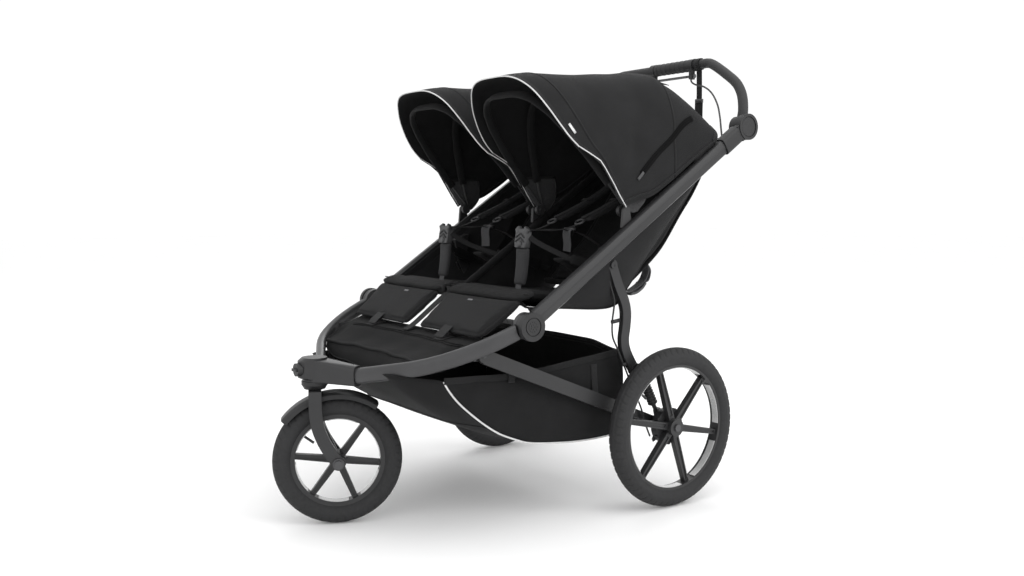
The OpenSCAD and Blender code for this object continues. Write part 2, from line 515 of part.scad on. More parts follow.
canopy(-1);  // canopy_right
canopy_bows(1);  // canopy_bows_left
canopy_bows(-1);  // canopy_bows_right
handlebar();
brake_collar();
brake_grip();
release_bar();
wrist_strap();
brake_cable_upper();
lower_tube(1);  // lower_tube_left
lower_tube(-1);  // lower_tube_right
rear_axle();
brake_drums();
brake_arms();
basket();
rear_legs();
suspension_bellows();
brake_cable_lower();
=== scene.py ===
import json
import math
import bpy
import numpy as np
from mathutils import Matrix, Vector

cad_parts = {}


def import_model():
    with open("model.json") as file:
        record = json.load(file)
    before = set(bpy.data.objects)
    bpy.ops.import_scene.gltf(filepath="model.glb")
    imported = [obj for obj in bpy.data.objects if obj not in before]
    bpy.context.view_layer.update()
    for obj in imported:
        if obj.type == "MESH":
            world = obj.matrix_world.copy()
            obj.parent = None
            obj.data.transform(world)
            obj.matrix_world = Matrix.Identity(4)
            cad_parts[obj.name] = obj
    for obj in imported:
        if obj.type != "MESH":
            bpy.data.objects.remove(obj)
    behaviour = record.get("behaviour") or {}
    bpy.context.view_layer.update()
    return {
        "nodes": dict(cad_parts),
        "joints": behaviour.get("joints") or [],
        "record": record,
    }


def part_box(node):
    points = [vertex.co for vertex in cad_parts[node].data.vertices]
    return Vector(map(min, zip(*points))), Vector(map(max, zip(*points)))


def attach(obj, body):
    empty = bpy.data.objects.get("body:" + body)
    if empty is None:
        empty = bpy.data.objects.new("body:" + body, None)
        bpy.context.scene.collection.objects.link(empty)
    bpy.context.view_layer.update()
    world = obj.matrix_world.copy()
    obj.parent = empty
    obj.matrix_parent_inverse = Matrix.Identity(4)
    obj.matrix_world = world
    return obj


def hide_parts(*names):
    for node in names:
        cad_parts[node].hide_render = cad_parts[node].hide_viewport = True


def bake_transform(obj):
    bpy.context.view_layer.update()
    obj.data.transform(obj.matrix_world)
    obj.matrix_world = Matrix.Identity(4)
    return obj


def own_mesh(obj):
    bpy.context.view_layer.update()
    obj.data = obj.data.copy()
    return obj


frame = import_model()
lo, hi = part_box("rear_axle")
Y0 = (lo.y + hi.y) / 2            # the rear axle's place along Y
S = bpy.context.scene
S.view_settings.view_transform = "Standard"
S.view_settings.look = "None"


# ------------------------------------------------------------------ geometry helpers
def A(q):
    return np.array(q, float)


def world(q):
    """millimetres in the rear axle's frame to metres in the row frame"""
    q = A(q) / 1000.0
    q[..., 1] += Y0
    return q


def unit(v):
    n = np.linalg.norm(v, axis=-1, keepdims=True)
    return v / np.maximum(n, 1e-12)


def smooth(q, n):
    """Catmull-Rom through the points, n steps a span"""
    q = A(q)
    m = len(q) - 1
    out = []
    for i in range(m):
        p, a, b, c = q[max(i - 1, 0)], q[i], q[i + 1], q[min(i + 2, m)]
        for k in range(n):
            t = k / n
            out.append(0.5 * (2 * a + (b - p) * t + (2 * p - 5 * a + 4 * b - c) * t * t
                              + (3 * a - p - 3 * b + c) * t ** 3))
    out.append(q[m])
    return A(out)


def even(q, n):
    """n points, evenly spaced along the line"""
    q = A(q)
    d = np.concatenate([[0], np.cumsum(np.linalg.norm(np.diff(q, axis=0), axis=1))])
    t = np.linspace(0, d[-1], n)
    return np.stack([np.interp(t, d, q[:, k]) for k in range(q.shape[1])], 1)


def make(name, verts, faces, mat, soft=True):
    me = bpy.data.meshes.new(name)
    me.from_pydata([tuple(v) for v in np.asarray(verts, float)], [], [tuple(f) for f in faces])
    me.validate()
    me.update()
    me.polygons.foreach_set("use_smooth", [soft] * len(me.polygons))
    o = bpy.data.objects.new(name, me)
    S.collection.objects.link(o)
    me.materials.append(mat)
    return o


def normals(G):
    du = np.gradient(G, axis=0)
    dv = np.gradient(G, axis=1)
    return unit(np.cross(du, dv))


def shell(name, G, t, mat, flip=False, crease=False):
    """a closed sheet of thickness t (mm) on the grid G (mm, rows x columns), grown against its normals"""
    G = A(G)
    n = normals(G) * (-1 if flip else 1)
    R, C = G.shape[:2]
    V = np.concatenate([G.reshape(-1, 3), (G - n * t).reshape(-1, 3)])
    k = R * C
    F = []
    for i in range(R - 1):
        for j in range(C - 1):
            a, b, c, d = i * C + j, i * C + j + 1, (i + 1) * C + j + 1, (i + 1) * C + j
            f = (a, d, c, b) if not flip else (a, b, c, d)
            F.append(f)
            F.append(tuple(v + k for v in reversed(f)))
    rim = [j for j in range(C)] + [i * C + C - 1 for i in range(1, R)] + \
          [(R - 1) * C + j for j in range(C - 2, -1, -1)] + [i * C for i in range(R - 2, 0, -1)]
    for a, b in zip(rim, rim[1:] + rim[:1]):
        F.append((a, b, b + k, a + k) if not flip else (b, a, a + k, b + k))
    o = make(name, world(V), F, mat)
    return o


def section(a, b, n, k=2.0):
    t = np.linspace(0, 2 * np.pi, n, endpoint=False)
    c, s = np.cos(t), np.sin(t)
    return np.stack([a * np.sign(c) * np.abs(c) ** (2 / k), b * np.sign(s) * np.abs(s) ** (2 / k)], 1)


def sweep(name, path, sec, mat, wide=None, scale=None, closed=False, caps=True):
    """sweeps a section along a path (mm). wide: the direction of the section's first axis, one for all or one a point"""
    path = A(path)
    m, n = len(path), len(sec)
    if closed:
        T = unit(np.roll(path, -1, 0) - np.roll(path, 1, 0))
    else:
        T = unit(np.gradient(path, axis=0))
    if wide is None:
        u = unit(np.cross(T[0], [0.13, 0.37, 0.92]))
        X = []
        for t in T:
            u = unit(u - t * np.dot(u, t))
            X.append(u)
        X = A(X)
    else:
        wide = np.broadcast_to(A(wide), (m, 3))
        X = unit(wide - T * np.sum(wide * T, 1)[:, None])
    Yv = np.cross(T, X)
    sc = np.ones(m) if scale is None else A(scale)
    if sc.ndim == 1:
        sc = np.stack([sc, sc], 1)
    V = path[:, None] + X[:, None] * (sec[None, :, :1] * sc[:, None, :1]) + Yv[:, None] * (sec[None, :, 1:] * sc[:, None, 1:])
    V = V.reshape(-1, 3)
    F = []
    for i in range(m if closed else m - 1):
        i2 = (i + 1) % m
        for k in range(n):
            F.append((i * n + k, i * n + (k + 1) % n, i2 * n + (k + 1) % n, i2 * n + k))
    if not closed and caps:
        c0, c1 = len(V), len(V) + 1
        V = np.concatenate([V, path[:1], path[-1:]])
        for k in range(n):
            F.append((c0, (k + 1) % n, k))
            F.append((c1, (m - 1) * n + k, (m - 1) * n + (k + 1) % n))
    return make(name, world(V), F, mat)


def tube(name, path, r, mat, n=10, **kw):
    return sweep(name, path, section(r, r, n), mat, **kw)


def strap(name, path, w, t, mat, wide=(1, 0, 0), **kw):
    return sweep(name, path, section(w / 2, t / 2, 14, 7), mat, wide=wide, **kw)


def yz(q, x):
    """(Y, Z) points at X = x"""
    q = A(q)
    return np.stack([np.full(len(q), float(x)), q[:, 0], q[:, 1]], 1)


def plate(name, outline, x0, x1, mat, bevel=1.0, axis=0):
    """a (Y, Z) outline extruded along X with rounded edges"""
    q = A(outline)
    n = len(q)
    V = np.concatenate([yz(q, x0), yz(q, x1)])
    F = [tuple(range(n)), tuple(range(2 * n - 1, n - 1, -1))]
    F += [((i + 1) % n, i, i + n, (i + 1) % n + n) for i in range(n)]
    o = make(name, world(V), F, mat)
    soften(o, bevel)
    return o


def soften(o, w=0.8, seg=2, angle=35):
    b = o.modifiers.new("edge", "BEVEL")
    b.width = w / 1000
    b.segments = seg
    b.limit_method = "ANGLE"
    b.angle_limit = math.radians(angle)
    b.harden_normals = False
    o.modifiers.new("normals", "WEIGHTED_NORMAL").keep_sharp = True
    return o


def bake(o):
    """applies the modifiers"""
    dg = bpy.context.evaluated_depsgraph_get()
    me = bpy.data.meshes.new_from_object(o.evaluated_get(dg), preserve_all_data_layers=True, depsgraph=dg)
    old = o.data
    o.modifiers.clear()
    o.data = me
    bpy.data.meshes.remove(old)
    me.polygons.foreach_set("use_smooth", [True] * len(me.polygons))
    return o


def coords(o):
    c = np.zeros(len(o.data.vertices) * 3)
    o.data.vertices.foreach_get("co", c)
    return c.reshape(-1, 3)


def setco(o, c):
    o.data.vertices.foreach_set("co", c.astype(np.float32).ravel())
    o.data.update()


def copy_mirrored(o, name):
    c = coords(o)
    c[:, 0] *= -1
    faces = [tuple(reversed(p.vertices)) for p in o.data.polygons]
    m = make(name, c, faces, o.data.materials[0])
    return m


def puff(o, cap=7.0, voxel=5.0, pressure=4.0):
    """stuffs a closed form: remesh, inflate as cloth, cap the growth, one subdivision"""
    r = o.modifiers.new("voxels", "REMESH")
    r.mode = "VOXEL"
    r.voxel_size = voxel / 1000
    r.use_smooth_shade = True
    bake(o)
    before = coords(o)
    c = o.modifiers.new("Cloth", "CLOTH")
    c.settings.quality = 6
    c.settings.mass = 0.25
    c.settings.tension_stiffness = 18
    c.settings.compression_stiffness = 12
    c.settings.shear_stiffness = 6
    c.settings.bending_stiffness = 1.2
    c.settings.use_pressure = True
    c.settings.uniform_pressure_force = pressure
    c.settings.effector_weights.gravity = 0
    c.collision_settings.use_collision = False
    c.point_cache.frame_start, c.point_cache.frame_end = 1, 20
    for f in range(1, 21):
        S.frame_set(f)
        dg = bpy.context.evaluated_depsgraph_get()
        ev = o.evaluated_get(dg)
        _ = ev.data.vertices[0].co.x
    after = np.zeros(len(before) * 3)
    ev.data.vertices.foreach_get("co", after)
    after = after.reshape(-1, 3)
    o.modifiers.clear()
    S.frame_set(1)
    d = after - before
    n = np.linalg.norm(d, axis=1, keepdims=True)
    setco(o, before + d * np.minimum(1, (cap / 1000) / np.maximum(n, 1e-9)))
    s = o.modifiers.new("sub", "SUBSURF")
    s.levels = s.render_levels = 1
    bake(o)
    return o


def relax(o, times=2):
    s = o.modifiers.new("s", "SMOOTH")
    s.factor = 0.5
    s.iterations = times
    bake(o)


def sew(o, dist, depth=2.2, width=3.2):
    """presses seam lines into a padded piece: dist is the distance (mm) of each vertex from the seam"""
    c = coords(o)
    n = np.zeros(len(c) * 3)
    o.data.vertices.foreach_get("normal", n)
    n = n.reshape(-1, 3)
    w = np.exp(-(dist / width) ** 2)
    setco(o, c - n * (w * depth / 1000)[:, None])


def local(o):
    """coordinates in mm, rear axle's frame"""
    c = coords(o).copy()
    c[:, 1] -= Y0
    return c * 1000


# ------------------------------------------------------------------ materials
class Mat:
    def __init__(self, name, rough=0.6, metal=0.0, spec=0.5, sheen=0.0, coat=0.0):
        self.m = bpy.data.materials.new(name)
        self.m.use_nodes = True
        self.t = self.m.node_tree
        self.b = next(n for n in self.t.nodes if n.type == "BSDF_PRINCIPLED")
        self.b.inputs["Roughness"].default_value = rough
        self.b.inputs["Metallic"].default_value = metal
        self.b.inputs["Specular IOR Level"].default_value = spec
        self.b.inputs["Sheen Weight"].default_value = sheen
        if sheen:
            self.b.inputs["Sheen Roughness"].default_value = 0.45
        self.b.inputs["Coat Weight"].default_value = coat
        if coat:
            self.b.inputs["Coat Roughness"].default_value = 0.25
        self.tc = self.n("ShaderNodeTexCoord").outputs["Object"]

    def n(self, kind, **kw):
        x = self.t.nodes.new(kind)
        for k, v in kw.items():
            if k.startswith("in_"):
                x.inputs[k[3:].replace("_", " ")].default_value = v
            else:
                setattr(x, k, v)
        return x

    def link(self, a, b):
        self.t.links.new(a, b)

    def noise(self, scale, detail=3.0, rough=0.5, stretch=None):
        x = self.n("ShaderNodeTexNoise")
        x.inputs["Scale"].default_value = scale
        x.inputs["Detail"].default_value = detail
        x.inputs["Roughness"].default_value = rough
        src = self.tc
        if stretch:
            mp = self.n("ShaderNodeMapping")
            mp.inputs["Scale"].default_value = stretch
            self.link(self.tc, mp.inputs["Vector"])
            src = mp.outputs["Vector"]
        self.link(src, x.inputs["Vector"])
        return x.outputs[0]

    def wave(self, scale, rot=(0, 0, 0), direction="X", distortion=0.4):
        mp = self.n("ShaderNodeMapping")
        mp.inputs["Rotation"].default_value = rot
        self.link(self.tc, mp.inputs["Vector"])
        x = self.n("ShaderNodeTexWave", bands_direction=direction)
        x.inputs["Scale"].default_value = scale
        x.inputs["Distortion"].default_value = distortion
        x.inputs["Detail"].default_value = 1.0
        self.link(mp.outputs["Vector"], x.inputs["Vector"])
        return x.outputs["Fac"]

    def voronoi(self, scale, feature="F1"):
        x = self.n("ShaderNodeTexVoronoi", feature=feature)
        x.inputs["Scale"].default_value = scale
        self.link(self.tc, x.inputs["Vector"])
        return x.outputs["Distance"]

    def math(self, op, a, b):
        x = self.n("ShaderNodeMath", operation=op)
        for i, v in enumerate((a, b)):
            if isinstance(v, (int, float)):
                x.inputs[i].default_value = v
            else:
                self.link(v, x.inputs[i])
        return x.outputs[0]

    def ramp(self, fac, stops):
        x = self.n("ShaderNodeValToRGB")
        e = x.color_ramp.elements
        while len(e) < len(stops):
            e.new(0.5)
        for el, (p, c) in zip(e, stops):
            el.position = p
            el.color = (*c, 1) if len(c) == 3 else c
        self.link(fac, x.inputs["Fac"])
        return x.outputs["Color"]

    def color(self, fac, stops):
        self.link(self.ramp(fac, stops), self.b.inputs["Base Color"])
        return self

    def rough(self, fac, a, b):
        x = self.n("ShaderNodeMapRange")
        x.inputs["To Min"].default_value = a
        x.inputs["To Max"].default_value = b
        self.link(fac, x.inputs["Value"])
        self.link(x.outputs[0], self.b.inputs["Roughness"])
        return self

    def bump(self, *layers):
        """layers of (height, strength, distance mm)"""
        prev = None
        for h, s, d in layers:
            x = self.n("ShaderNodeBump")
            x.inputs["Strength"].default_value = s
            x.inputs["Distance"].default_value = d / 1000
            self.link(h, x.inputs["Height"])
            if prev is not None:
                self.link(prev, x.inputs["Normal"])
            prev = x.outputs["Normal"]
        self.link(prev, self.b.inputs["Normal"])
        return self


def g(v, tint=1.04):
    return (v, v, v * tint)


def fabric(name, dark, light, scale=1.0, sheen=0.04, rough=(0.78, 0.95)):
    """a plain weave with a slight heather and soft large-scale shading of the cloth"""
    m = Mat(name, rough=0.9, sheen=sheen, spec=0.16)
    k = 820 / scale
    warp = m.wave(k, (0.0, 0.0, 0.0), "X")
    weft = m.wave(k, (0.6, 0.0, 0.0), "Y")
    third = m.wave(k, (0.6, 0.0, 0.0), "Z")
    weave = m.math("ADD", m.math("MULTIPLY", warp, weft), m.math("MULTIPLY", third, 0.6))
    fine = m.noise(2600 / scale, 2)
    cloud = m.noise(14, 4, 0.6)
    mix = m.math("ADD", m.math("MULTIPLY", fine, 0.55), m.math("MULTIPLY", cloud, 0.45))
    m.color(mix, [(0.3, g(dark)), (0.72, g(light))])
    m.rough(weave, *rough)
    m.bump((cloud, 0.25, 2.0), (fine, 0.3, 0.25), (weave, 0.45, 0.35))
    return m.m


def webbing(name, dark, light, rot=(0.6, 0, 0)):
    m = Mat(name, rough=0.8, sheen=0.05, spec=0.2)
    rib = m.wave(560, rot, "Z", 0.1)
    edge = m.wave(300, (0, 0, 0), "X", 0.1)
    fine = m.noise(1800, 2)
    m.color(m.math("ADD", m.math("MULTIPLY", rib, 0.5), m.math("MULTIPLY", fine, 0.5)), [(0.25, g(dark)), (0.8, g(light))])
    m.rough(rib, 0.65, 0.9)
    m.bump((rib, 0.6, 0.5), (edge, 0.25, 0.3), (fine, 0.25, 0.15))
    return m.m


def plastic(name, base, rough=0.5, grain=1500, vary=0.25, coat=0.0, spec=0.45):
    m = Mat(name, rough=rough, spec=spec, coat=coat)
    fine = m.noise(grain, 2)
    cloud = m.noise(9, 5, 0.65)
    scuff = m.noise(60, 6, 0.75, stretch=(1, 3.5, 0.8))
    m.color(m.math("ADD", m.math("MULTIPLY", cloud, 0.7), m.math("MULTIPLY", scuff, 0.3)),
            [(0.3, g(base * (1 - vary))), (0.75, g(base * (1 + vary)))])
    m.rough(scuff, rough - 0.08, rough + 0.12)
    m.bump((fine, 0.22, 0.12), (scuff, 0.05, 0.2))
    return m.m


def metal(name, base, rough=0.36, metallic=0.35, grain=2200):
    m = Mat(name, rough=rough, metal=metallic, spec=0.5, coat=0.12)
    fine = m.noise(grain, 2)
    cloud = m.noise(7, 4, 0.6)
    wear = m.noise(42, 8, 0.8, stretch=(1.6, 0.5, 1))
    m.color(m.math("ADD", m.math("MULTIPLY", cloud, 0.6), m.math("MULTIPLY", wear, 0.4)),
            [(0.3, g(base * 0.82)), (0.7, g(base * 1.15)), (0.9, g(base * 1.5))])
    m.rough(wear, rough - 0.07, rough + 0.14)
    m.bump((fine, 0.28, 0.1), (cloud, 0.03, 0.3))
    return m.m


M = {}
M["frame"] = metal("frame", 0.026, 0.40)
M["front_tubes"] = metal("front_tubes", 0.046, 0.38)
M["moulding"] = plastic("moulding", 0.022, 0.48, spec=0.35)
M["rim"] = plastic("rim", 0.020, 0.42, coat=0.06, spec=0.4)
M["steel"] = metal("steel", 0.075, 0.38, 0.6, 1400)
M["fabric"] = fabric("fabric", 0.0095, 0.0185)
M["seat_fabric"] = fabric("seat_fabric", 0.0065, 0.0135, 0.9, 0.03)
M["lining"] = fabric("lining", 0.006, 0.013, 1.3, 0.03)
M["binding"] = webbing("binding", 0.007, 0.018)
M["webbing"] = webbing("webbing", 0.010, 0.026)
M["grey_webbing"] = webbing("grey_webbing", 0.060, 0.12)
M["basket_cloth"] = fabric("basket_cloth", 0.0075, 0.0150)
M["strap_pad"] = fabric("strap_pad", 0.010, 0.021, 1.2)
M["crotch"] = fabric("crotch", 0.026, 0.048, 1.2)
M["buckle"] = plastic("buckle", 0.046, 0.45)
M["cable"] = plastic("cable", 0.014, 0.42, grain=900)
M["zip"] = plastic("zip", 0.0035, 0.75, spec=0.08)
M["tag"] = webbing("tag", 0.16, 0.30)

# reflective tape and piping: fine glass beads under a grid of hexagons
m = Mat("reflective", rough=0.3, metal=0.25, spec=0.6)
cells = m.voronoi(420, "DISTANCE_TO_EDGE")
m.color(m.math("ADD", m.math("MULTIPLY", cells, 3.0), m.math("MULTIPLY", m.noise(30, 3), 0.4)),
        [(0.1, g(0.34, 1.0)), (0.6, g(0.58, 1.0))])
m.rough(m.noise(200, 2), 0.22, 0.4)
m.bump((cells, 0.35, 0.2))
M["reflective"] = m.m
m = Mat("piping", rough=0.5, sheen=0.1)
rib = m.wave(650, (0.5, 0.4, 0), "DIAGONAL", 0.2)
m.color(m.math("ADD", m.math("MULTIPLY", rib, 0.3), m.math("MULTIPLY", m.noise(25, 3), 0.7)), [(0.2, g(0.50, 1.0)), (0.75, g(0.74, 1.0))])
m.rough(rib, 0.4, 0.6)
m.bump((rib, 0.4, 0.3))
M["piping"] = m.m
# tyre rubber: dusty tread, moulded flow lines
m = Mat("tyre", rough=0.72, spec=0.35)
cloud, fine, flow = m.noise(16, 6, 0.7), m.noise(1300, 3), m.noise(120, 3, 0.5)
m.color(m.math("ADD", m.math("MULTIPLY", cloud, 0.6), m.math("MULTIPLY", flow, 0.4)), [(0.3, g(0.016)), (0.62, g(0.025)), (0.85, g(0.036))])
m.rough(cloud, 0.62, 0.85)
m.bump((fine, 0.3, 0.18), (flow, 0.12, 0.3))
M["tyre"] = m.m
# grained sleeve of the handlebar
m = Mat("grip", rough=0.62, spec=0.4, sheen=0.05)
grain = m.voronoi(900, "F1")
cloud = m.noise(24, 5, 0.6)
m.color(m.math("ADD", m.math("MULTIPLY", cloud, 0.7), m.math("MULTIPLY", grain, 0.5)), [(0.25, g(0.011)), (0.8, g(0.024))])
m.rough(grain, 0.5, 0.72)
m.bump((grain, 0.4, 0.35), (cloud, 0.1, 0.6))
M["grip"] = m.m
# mottled mesh of the canopies' side pockets
m = Mat("mesh", rough=0.85, sheen=0.1)
holes = m.voronoi(700, "F1")
mott = m.noise(220, 4, 0.7)
m.color(m.math("ADD", m.math("MULTIPLY", mott, 0.8), m.math("MULTIPLY", holes, 0.3)), [(0.35, g(0.010)), (0.62, g(0.034))])
m.rough(mott, 0.7, 0.95)
m.bump((holes, 0.5, 0.4), (mott, 0.2, 0.5))
M["mesh"] = m.m

slots = {s["node"]: s["material_slot"] for s in frame["record"].get("subparts", [])} if frame["record"].get("subparts") else {}
fallback = {"front_tube": "front_tubes", "rear_rim": "rim", "front_rim": "rim", "rear_tyre": "tyre", "front_tyre": "tyre",
            "rear_reflectors": "reflective", "front_reflectors": "reflective", "upper_tube": "frame", "lower_tube": "frame"}
soft_nodes = ("canopy_left", "canopy_right", "seat_", "leg_pad", "side_wall", "harness", "basket", "footwell", "back_cover",
              "crotch", "recline", "wrist", "centre_divider", "brake_cable")
for name, o in frame["nodes"].items():
    s = slots.get(name) or next((v for k, v in fallback.items() if name.startswith(k)), "frame")
    o.data.materials.clear()
    o.data.materials.append(M.get(s, M["frame"]))
    o.data.polygons.foreach_set("use_smooth", [True] * len(o.data.polygons))
    if o.data.attributes.get("custom_normal"):
        o.data.attributes.remove(o.data.attributes["custom_normal"])
    if not name.startswith(soft_nodes):
        w = o.modifiers.new("weld", "WELD")
        w.merge_threshold = 0.00001
        soften(o, {"rear_rim_left": 1.2, "rear_rim_right": 1.2, "front_rim": 1.2, "front_head": 2.0, "fold_hubs": 1.0,
                   "handle_hubs": 1.2, "upper_tube_left": 2.0, "upper_tube_right": 2.0, "fork": 1.5}.get(name, 0.7), 2, 40)


def put(o, body, slot, *nodes, keep=None):
    if body:
        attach(o, body)
    if nodes:
        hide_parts(*nodes)
    return o


SIDES = ((1, "left"), (-1, "right"))


# ------------------------------------------------------------------ tyres
def tyre(name, node, body, R, bead, blocks):
    lo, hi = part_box(node)
    c = (lo + hi) / 2
    if node == "front_tyre":
        a = next(j for j in frame["joints"] if j["name"] == "front_wheel_spin")["axis"]
        c = Vector(next(j for j in frame["joints"] if j["name"] == "front_wheel_spin")["pos_m"])
        ax = Vector(a).normalized()
    else:
        ax = Vector((1, 0, 0))
    up = Vector((0, 0, 1))
    fw = ax.cross(up).normalized()
    r = 23.0
    prof = []
    n = 44
    for i in range(n + 1):
        t = math.radians(-152 + 304 * i / n)      # 0 is the tread's middle
        prof.append((t, R - r - 0.6 + r * math.cos(t), r * math.sin(t)))
    m_ = blocks * 10
    V, F = [], []
    for k in range(m_):
        ph = 2 * math.pi * k / m_
        q = (k % 10) / 10.0
        for t, rad, x in prof:
            d = math.degrees(abs(t))
            h = 0.0
            if d < 64:
                shift = 0.5 if t > 0 else 0.0
                qq = (q + shift + d / 150.0) % 1.0
                h = 0.6
                if 24 < d < 56 and qq < 0.2:
                    h = -1.0                      # cross grooves between the shoulder blocks
                if 19 < d < 24 or d < 2.5:
                    h = -0.9                      # grooves round the tyre
                if 56 <= d < 64:
                    h = 0.6 if qq > 0.35 else -0.4
            elif 84 < d < 90 or 118 < d < 121:
                h = 0.5                           # moulded ribs on the side wall
            f = (rad + h * math.cos(t)) / 1000
            s = (x + h * math.sin(t)) / 1000
            V.append(c + fw * (f * math.cos(ph)) + up * (f * math.sin(ph)) + ax * s)
    w = len(prof)
    for k in range(m_):
        k2 = (k + 1) % m_
        for i in range(w - 1):
            F.append((k * w + i, k2 * w + i, k2 * w + i + 1, k * w + i + 1))
        F.append((k * w + w - 1, k2 * w + w - 1, k2 * w, k * w))
    o = make(name, V, F, M["tyre"])
    return put(o, body, "tyre", node)


tyre("tyre_front", "front_tyre", "front_wheel", 149.0, 110, 48)
for s, side in SIDES:
    tyre(f"tyre_rear_{side}", f"rear_tyre_{side}", f"rear_wheel_{side}", 195.5, 160, 62)

# ------------------------------------------------------------------ reflective bands inside the rims
def band(name, node, tyre_node, body):
    if node == "front_reflectors":
        j = next(q for q in frame["joints"] if q["name"] == "front_wheel_spin")
        c, ax = Vector(j["pos_m"]), Vector(j["axis"]).normalized()
    else:
        lo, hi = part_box(tyre_node)
        c, ax = (lo + hi) / 2, Vector((1, 0, 0))
    src = frame["nodes"][node]
    V = [src.matrix_world @ v.co for v in src.data.vertices]
    xs = [(v - c).dot(ax) * 1000 for v in V]
    sg = 1 if sum(xs) > 0 else -1
    W = [v + ax * ((sg * (-5.0 + (sg * x - 3.6) * 1.75) - x) / 1000) for v, x in zip(V, xs)]
    o = make(name, W, [tuple(q.vertices) for q in src.data.polygons], M["reflective"], False)
    w = o.modifiers.new("weld", "WELD")
    w.merge_threshold = 0.00001
    return put(o, body, "reflective", node)


band("rim_bands_front", "front_reflectors", "front_tyre", "front_wheel")
for s, side in SIDES:
    band(f"rim_bands_rear_{side}", f"rear_reflectors_{side}", f"rear_tyre_{side}", f"rear_wheel_{side}")

# ------------------------------------------------------------------ canopies
ST = A([[-149, 732, -404, 1028], [-147, 733, -350, 1040], [-136, 738, -256, 1043], [-112, 746, -156, 1050], [-66, 758, -70, 1060],
        [-10, 790, -4, 1068], [40, 824, 36, 1050], [90, 858, 84, 1018], [122, 880, 130, 980], [138, 892, 168, 944]])
STF = smooth(ST, 8)                                # 73 stations
KH = A([0, .064, .152, .236, .324, .368, .389, .412, .449, .53, .642, .77, .882, .943, 1])
KD = A([0, 1, 7, 11, 16, 15, 7, -2, -18, -25, -22, -14, -5, -2, 0])


def canopy_point(si, a, inset=0.0, s=1, rough_=True):
    """a point on a canopy: si is the station (0 front .. 9 back), a the angle round the arch in degrees"""
    k = si * 8
    i = int(min(max(math.floor(k), 0), len(STF) - 2))
    st = STF[i] * (1 - (k - i)) + STF[i + 1] * (k - i)
    c, sn = math.cos(math.radians(a)), max(math.sin(math.radians(a)), 0.0)
    h = sn ** 0.8
    w = 179.5 - inset
    f = 1 - inset / 300
    x = 183.5 - w * math.copysign(abs(c) ** 0.58, c)
    y = st[0] + (st[2] - st[0]) * h * f
    z = st[1] + (st[3] - st[1]) * h * f
    fade = max(0.0, 1 - si / 1.9) ** 1.5
    y += np.interp(h, KH, KD) * fade
    if rough_:
        # the visor's lip rolls out, the cloth sags between the bows and creases fan out from the pivot
        lip = math.exp(-(si / 0.55) ** 2) * h
        x += (x - 183.5) / 179 * 1.0 * lip
        sag = math.sin(math.pi * min(max((si - 3.2) / 4.2, 0), 1)) ** 2
        z -= 5.0 * sag * h ** 3 * (0.4 + 0.6 * sn)
        side = 1 - abs(h - 0.45) / 0.55
        if side > 0:
            sgn = -1 if c > 0 else 1
            ph = math.atan2(z - 723, y + 142)
            rad = math.hypot(z - 723, y + 142)
            fan = math.sin(ph * 11 + rad * 0.006 + sgn) * 0.6 + math.sin(ph * 23 + rad * 0.011 + 2.1 * s) * 0.4
            env = math.exp(-((si - 4.6) / 2.4) ** 2)
            x += sgn * (2.6 * fan * env * side * min(rad / 170, 1.0) - 2.0 * env * side)
        z += 1.2 * math.sin(si * 5.1 + x * 0.021) * h ** 4 * math.exp(-((si - 5) / 2.5) ** 2)
    return A([s * x, y, z])


def canopy_grid(s, si, aa, inset=0.0):
    return A([[canopy_point(u, a, inset, s) for a in aa] for u in si])


def declare_sheet(G):
    """takes a sewn sheet's grid and only turns it into an array; it records nothing"""
    G = A(G)


def angles(n):
    """angles round the arch, closer together where the cloth turns"""
    t = np.linspace(0, 1, n)
    out = []
    for v in t:
        q = abs(2 * v - 1)
        out.append(90 + math.copysign(90 * (q ** 1.25), 2 * v - 1))
    return out


def nearest(s, y, z, outer, lim=(0.2, 8.8)):
    """the (station, angle) of the canopy's side nearest to (y, z)"""
    best, at_ = 1e9, None
    for u in np.linspace(lim[0], lim[1], 60):
        for a in (np.linspace(110, 178, 50) if outer else np.linspace(2, 70, 50)):
            p = canopy_point(u, a, 0, s)
            d = (p[1] - y) ** 2 + (p[2] - z) ** 2
            if d < best:
                best, at_ = d, (u, a)
    return at_


def on_canopy(s, sia, lift=0.0):
    """points on the canopy's surface, lifted by lift mm, with normals"""
    P, N = [], []
    for u, a in sia:
        p = canopy_point(u, a, 0, s)
        du = canopy_point(min(u + 0.02, 9), a, 0, s) - canopy_point(max(u - 0.02, 0), a, 0, s)
        da = canopy_point(u, min(a + 0.4, 180), 0, s) - canopy_point(u, max(a - 0.4, 0), 0, s)
        n = unit(np.cross(du, da))
        mid = A([180 * s, p[1], 800])
        if np.dot(n, p - mid) < 0:
            n = -n
        P.append(p + n * lift)
        N.append(n)
    return A(P), A(N)


BS, BE = Vector(world([180, -142 - (-98) * -0.77, 723 + (-98) * 0.64])), Vector(world([180, -142 + 393 * -0.77, 723 + 393 * 0.64]))


def with_canopy(o):
    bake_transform(o)
    return o


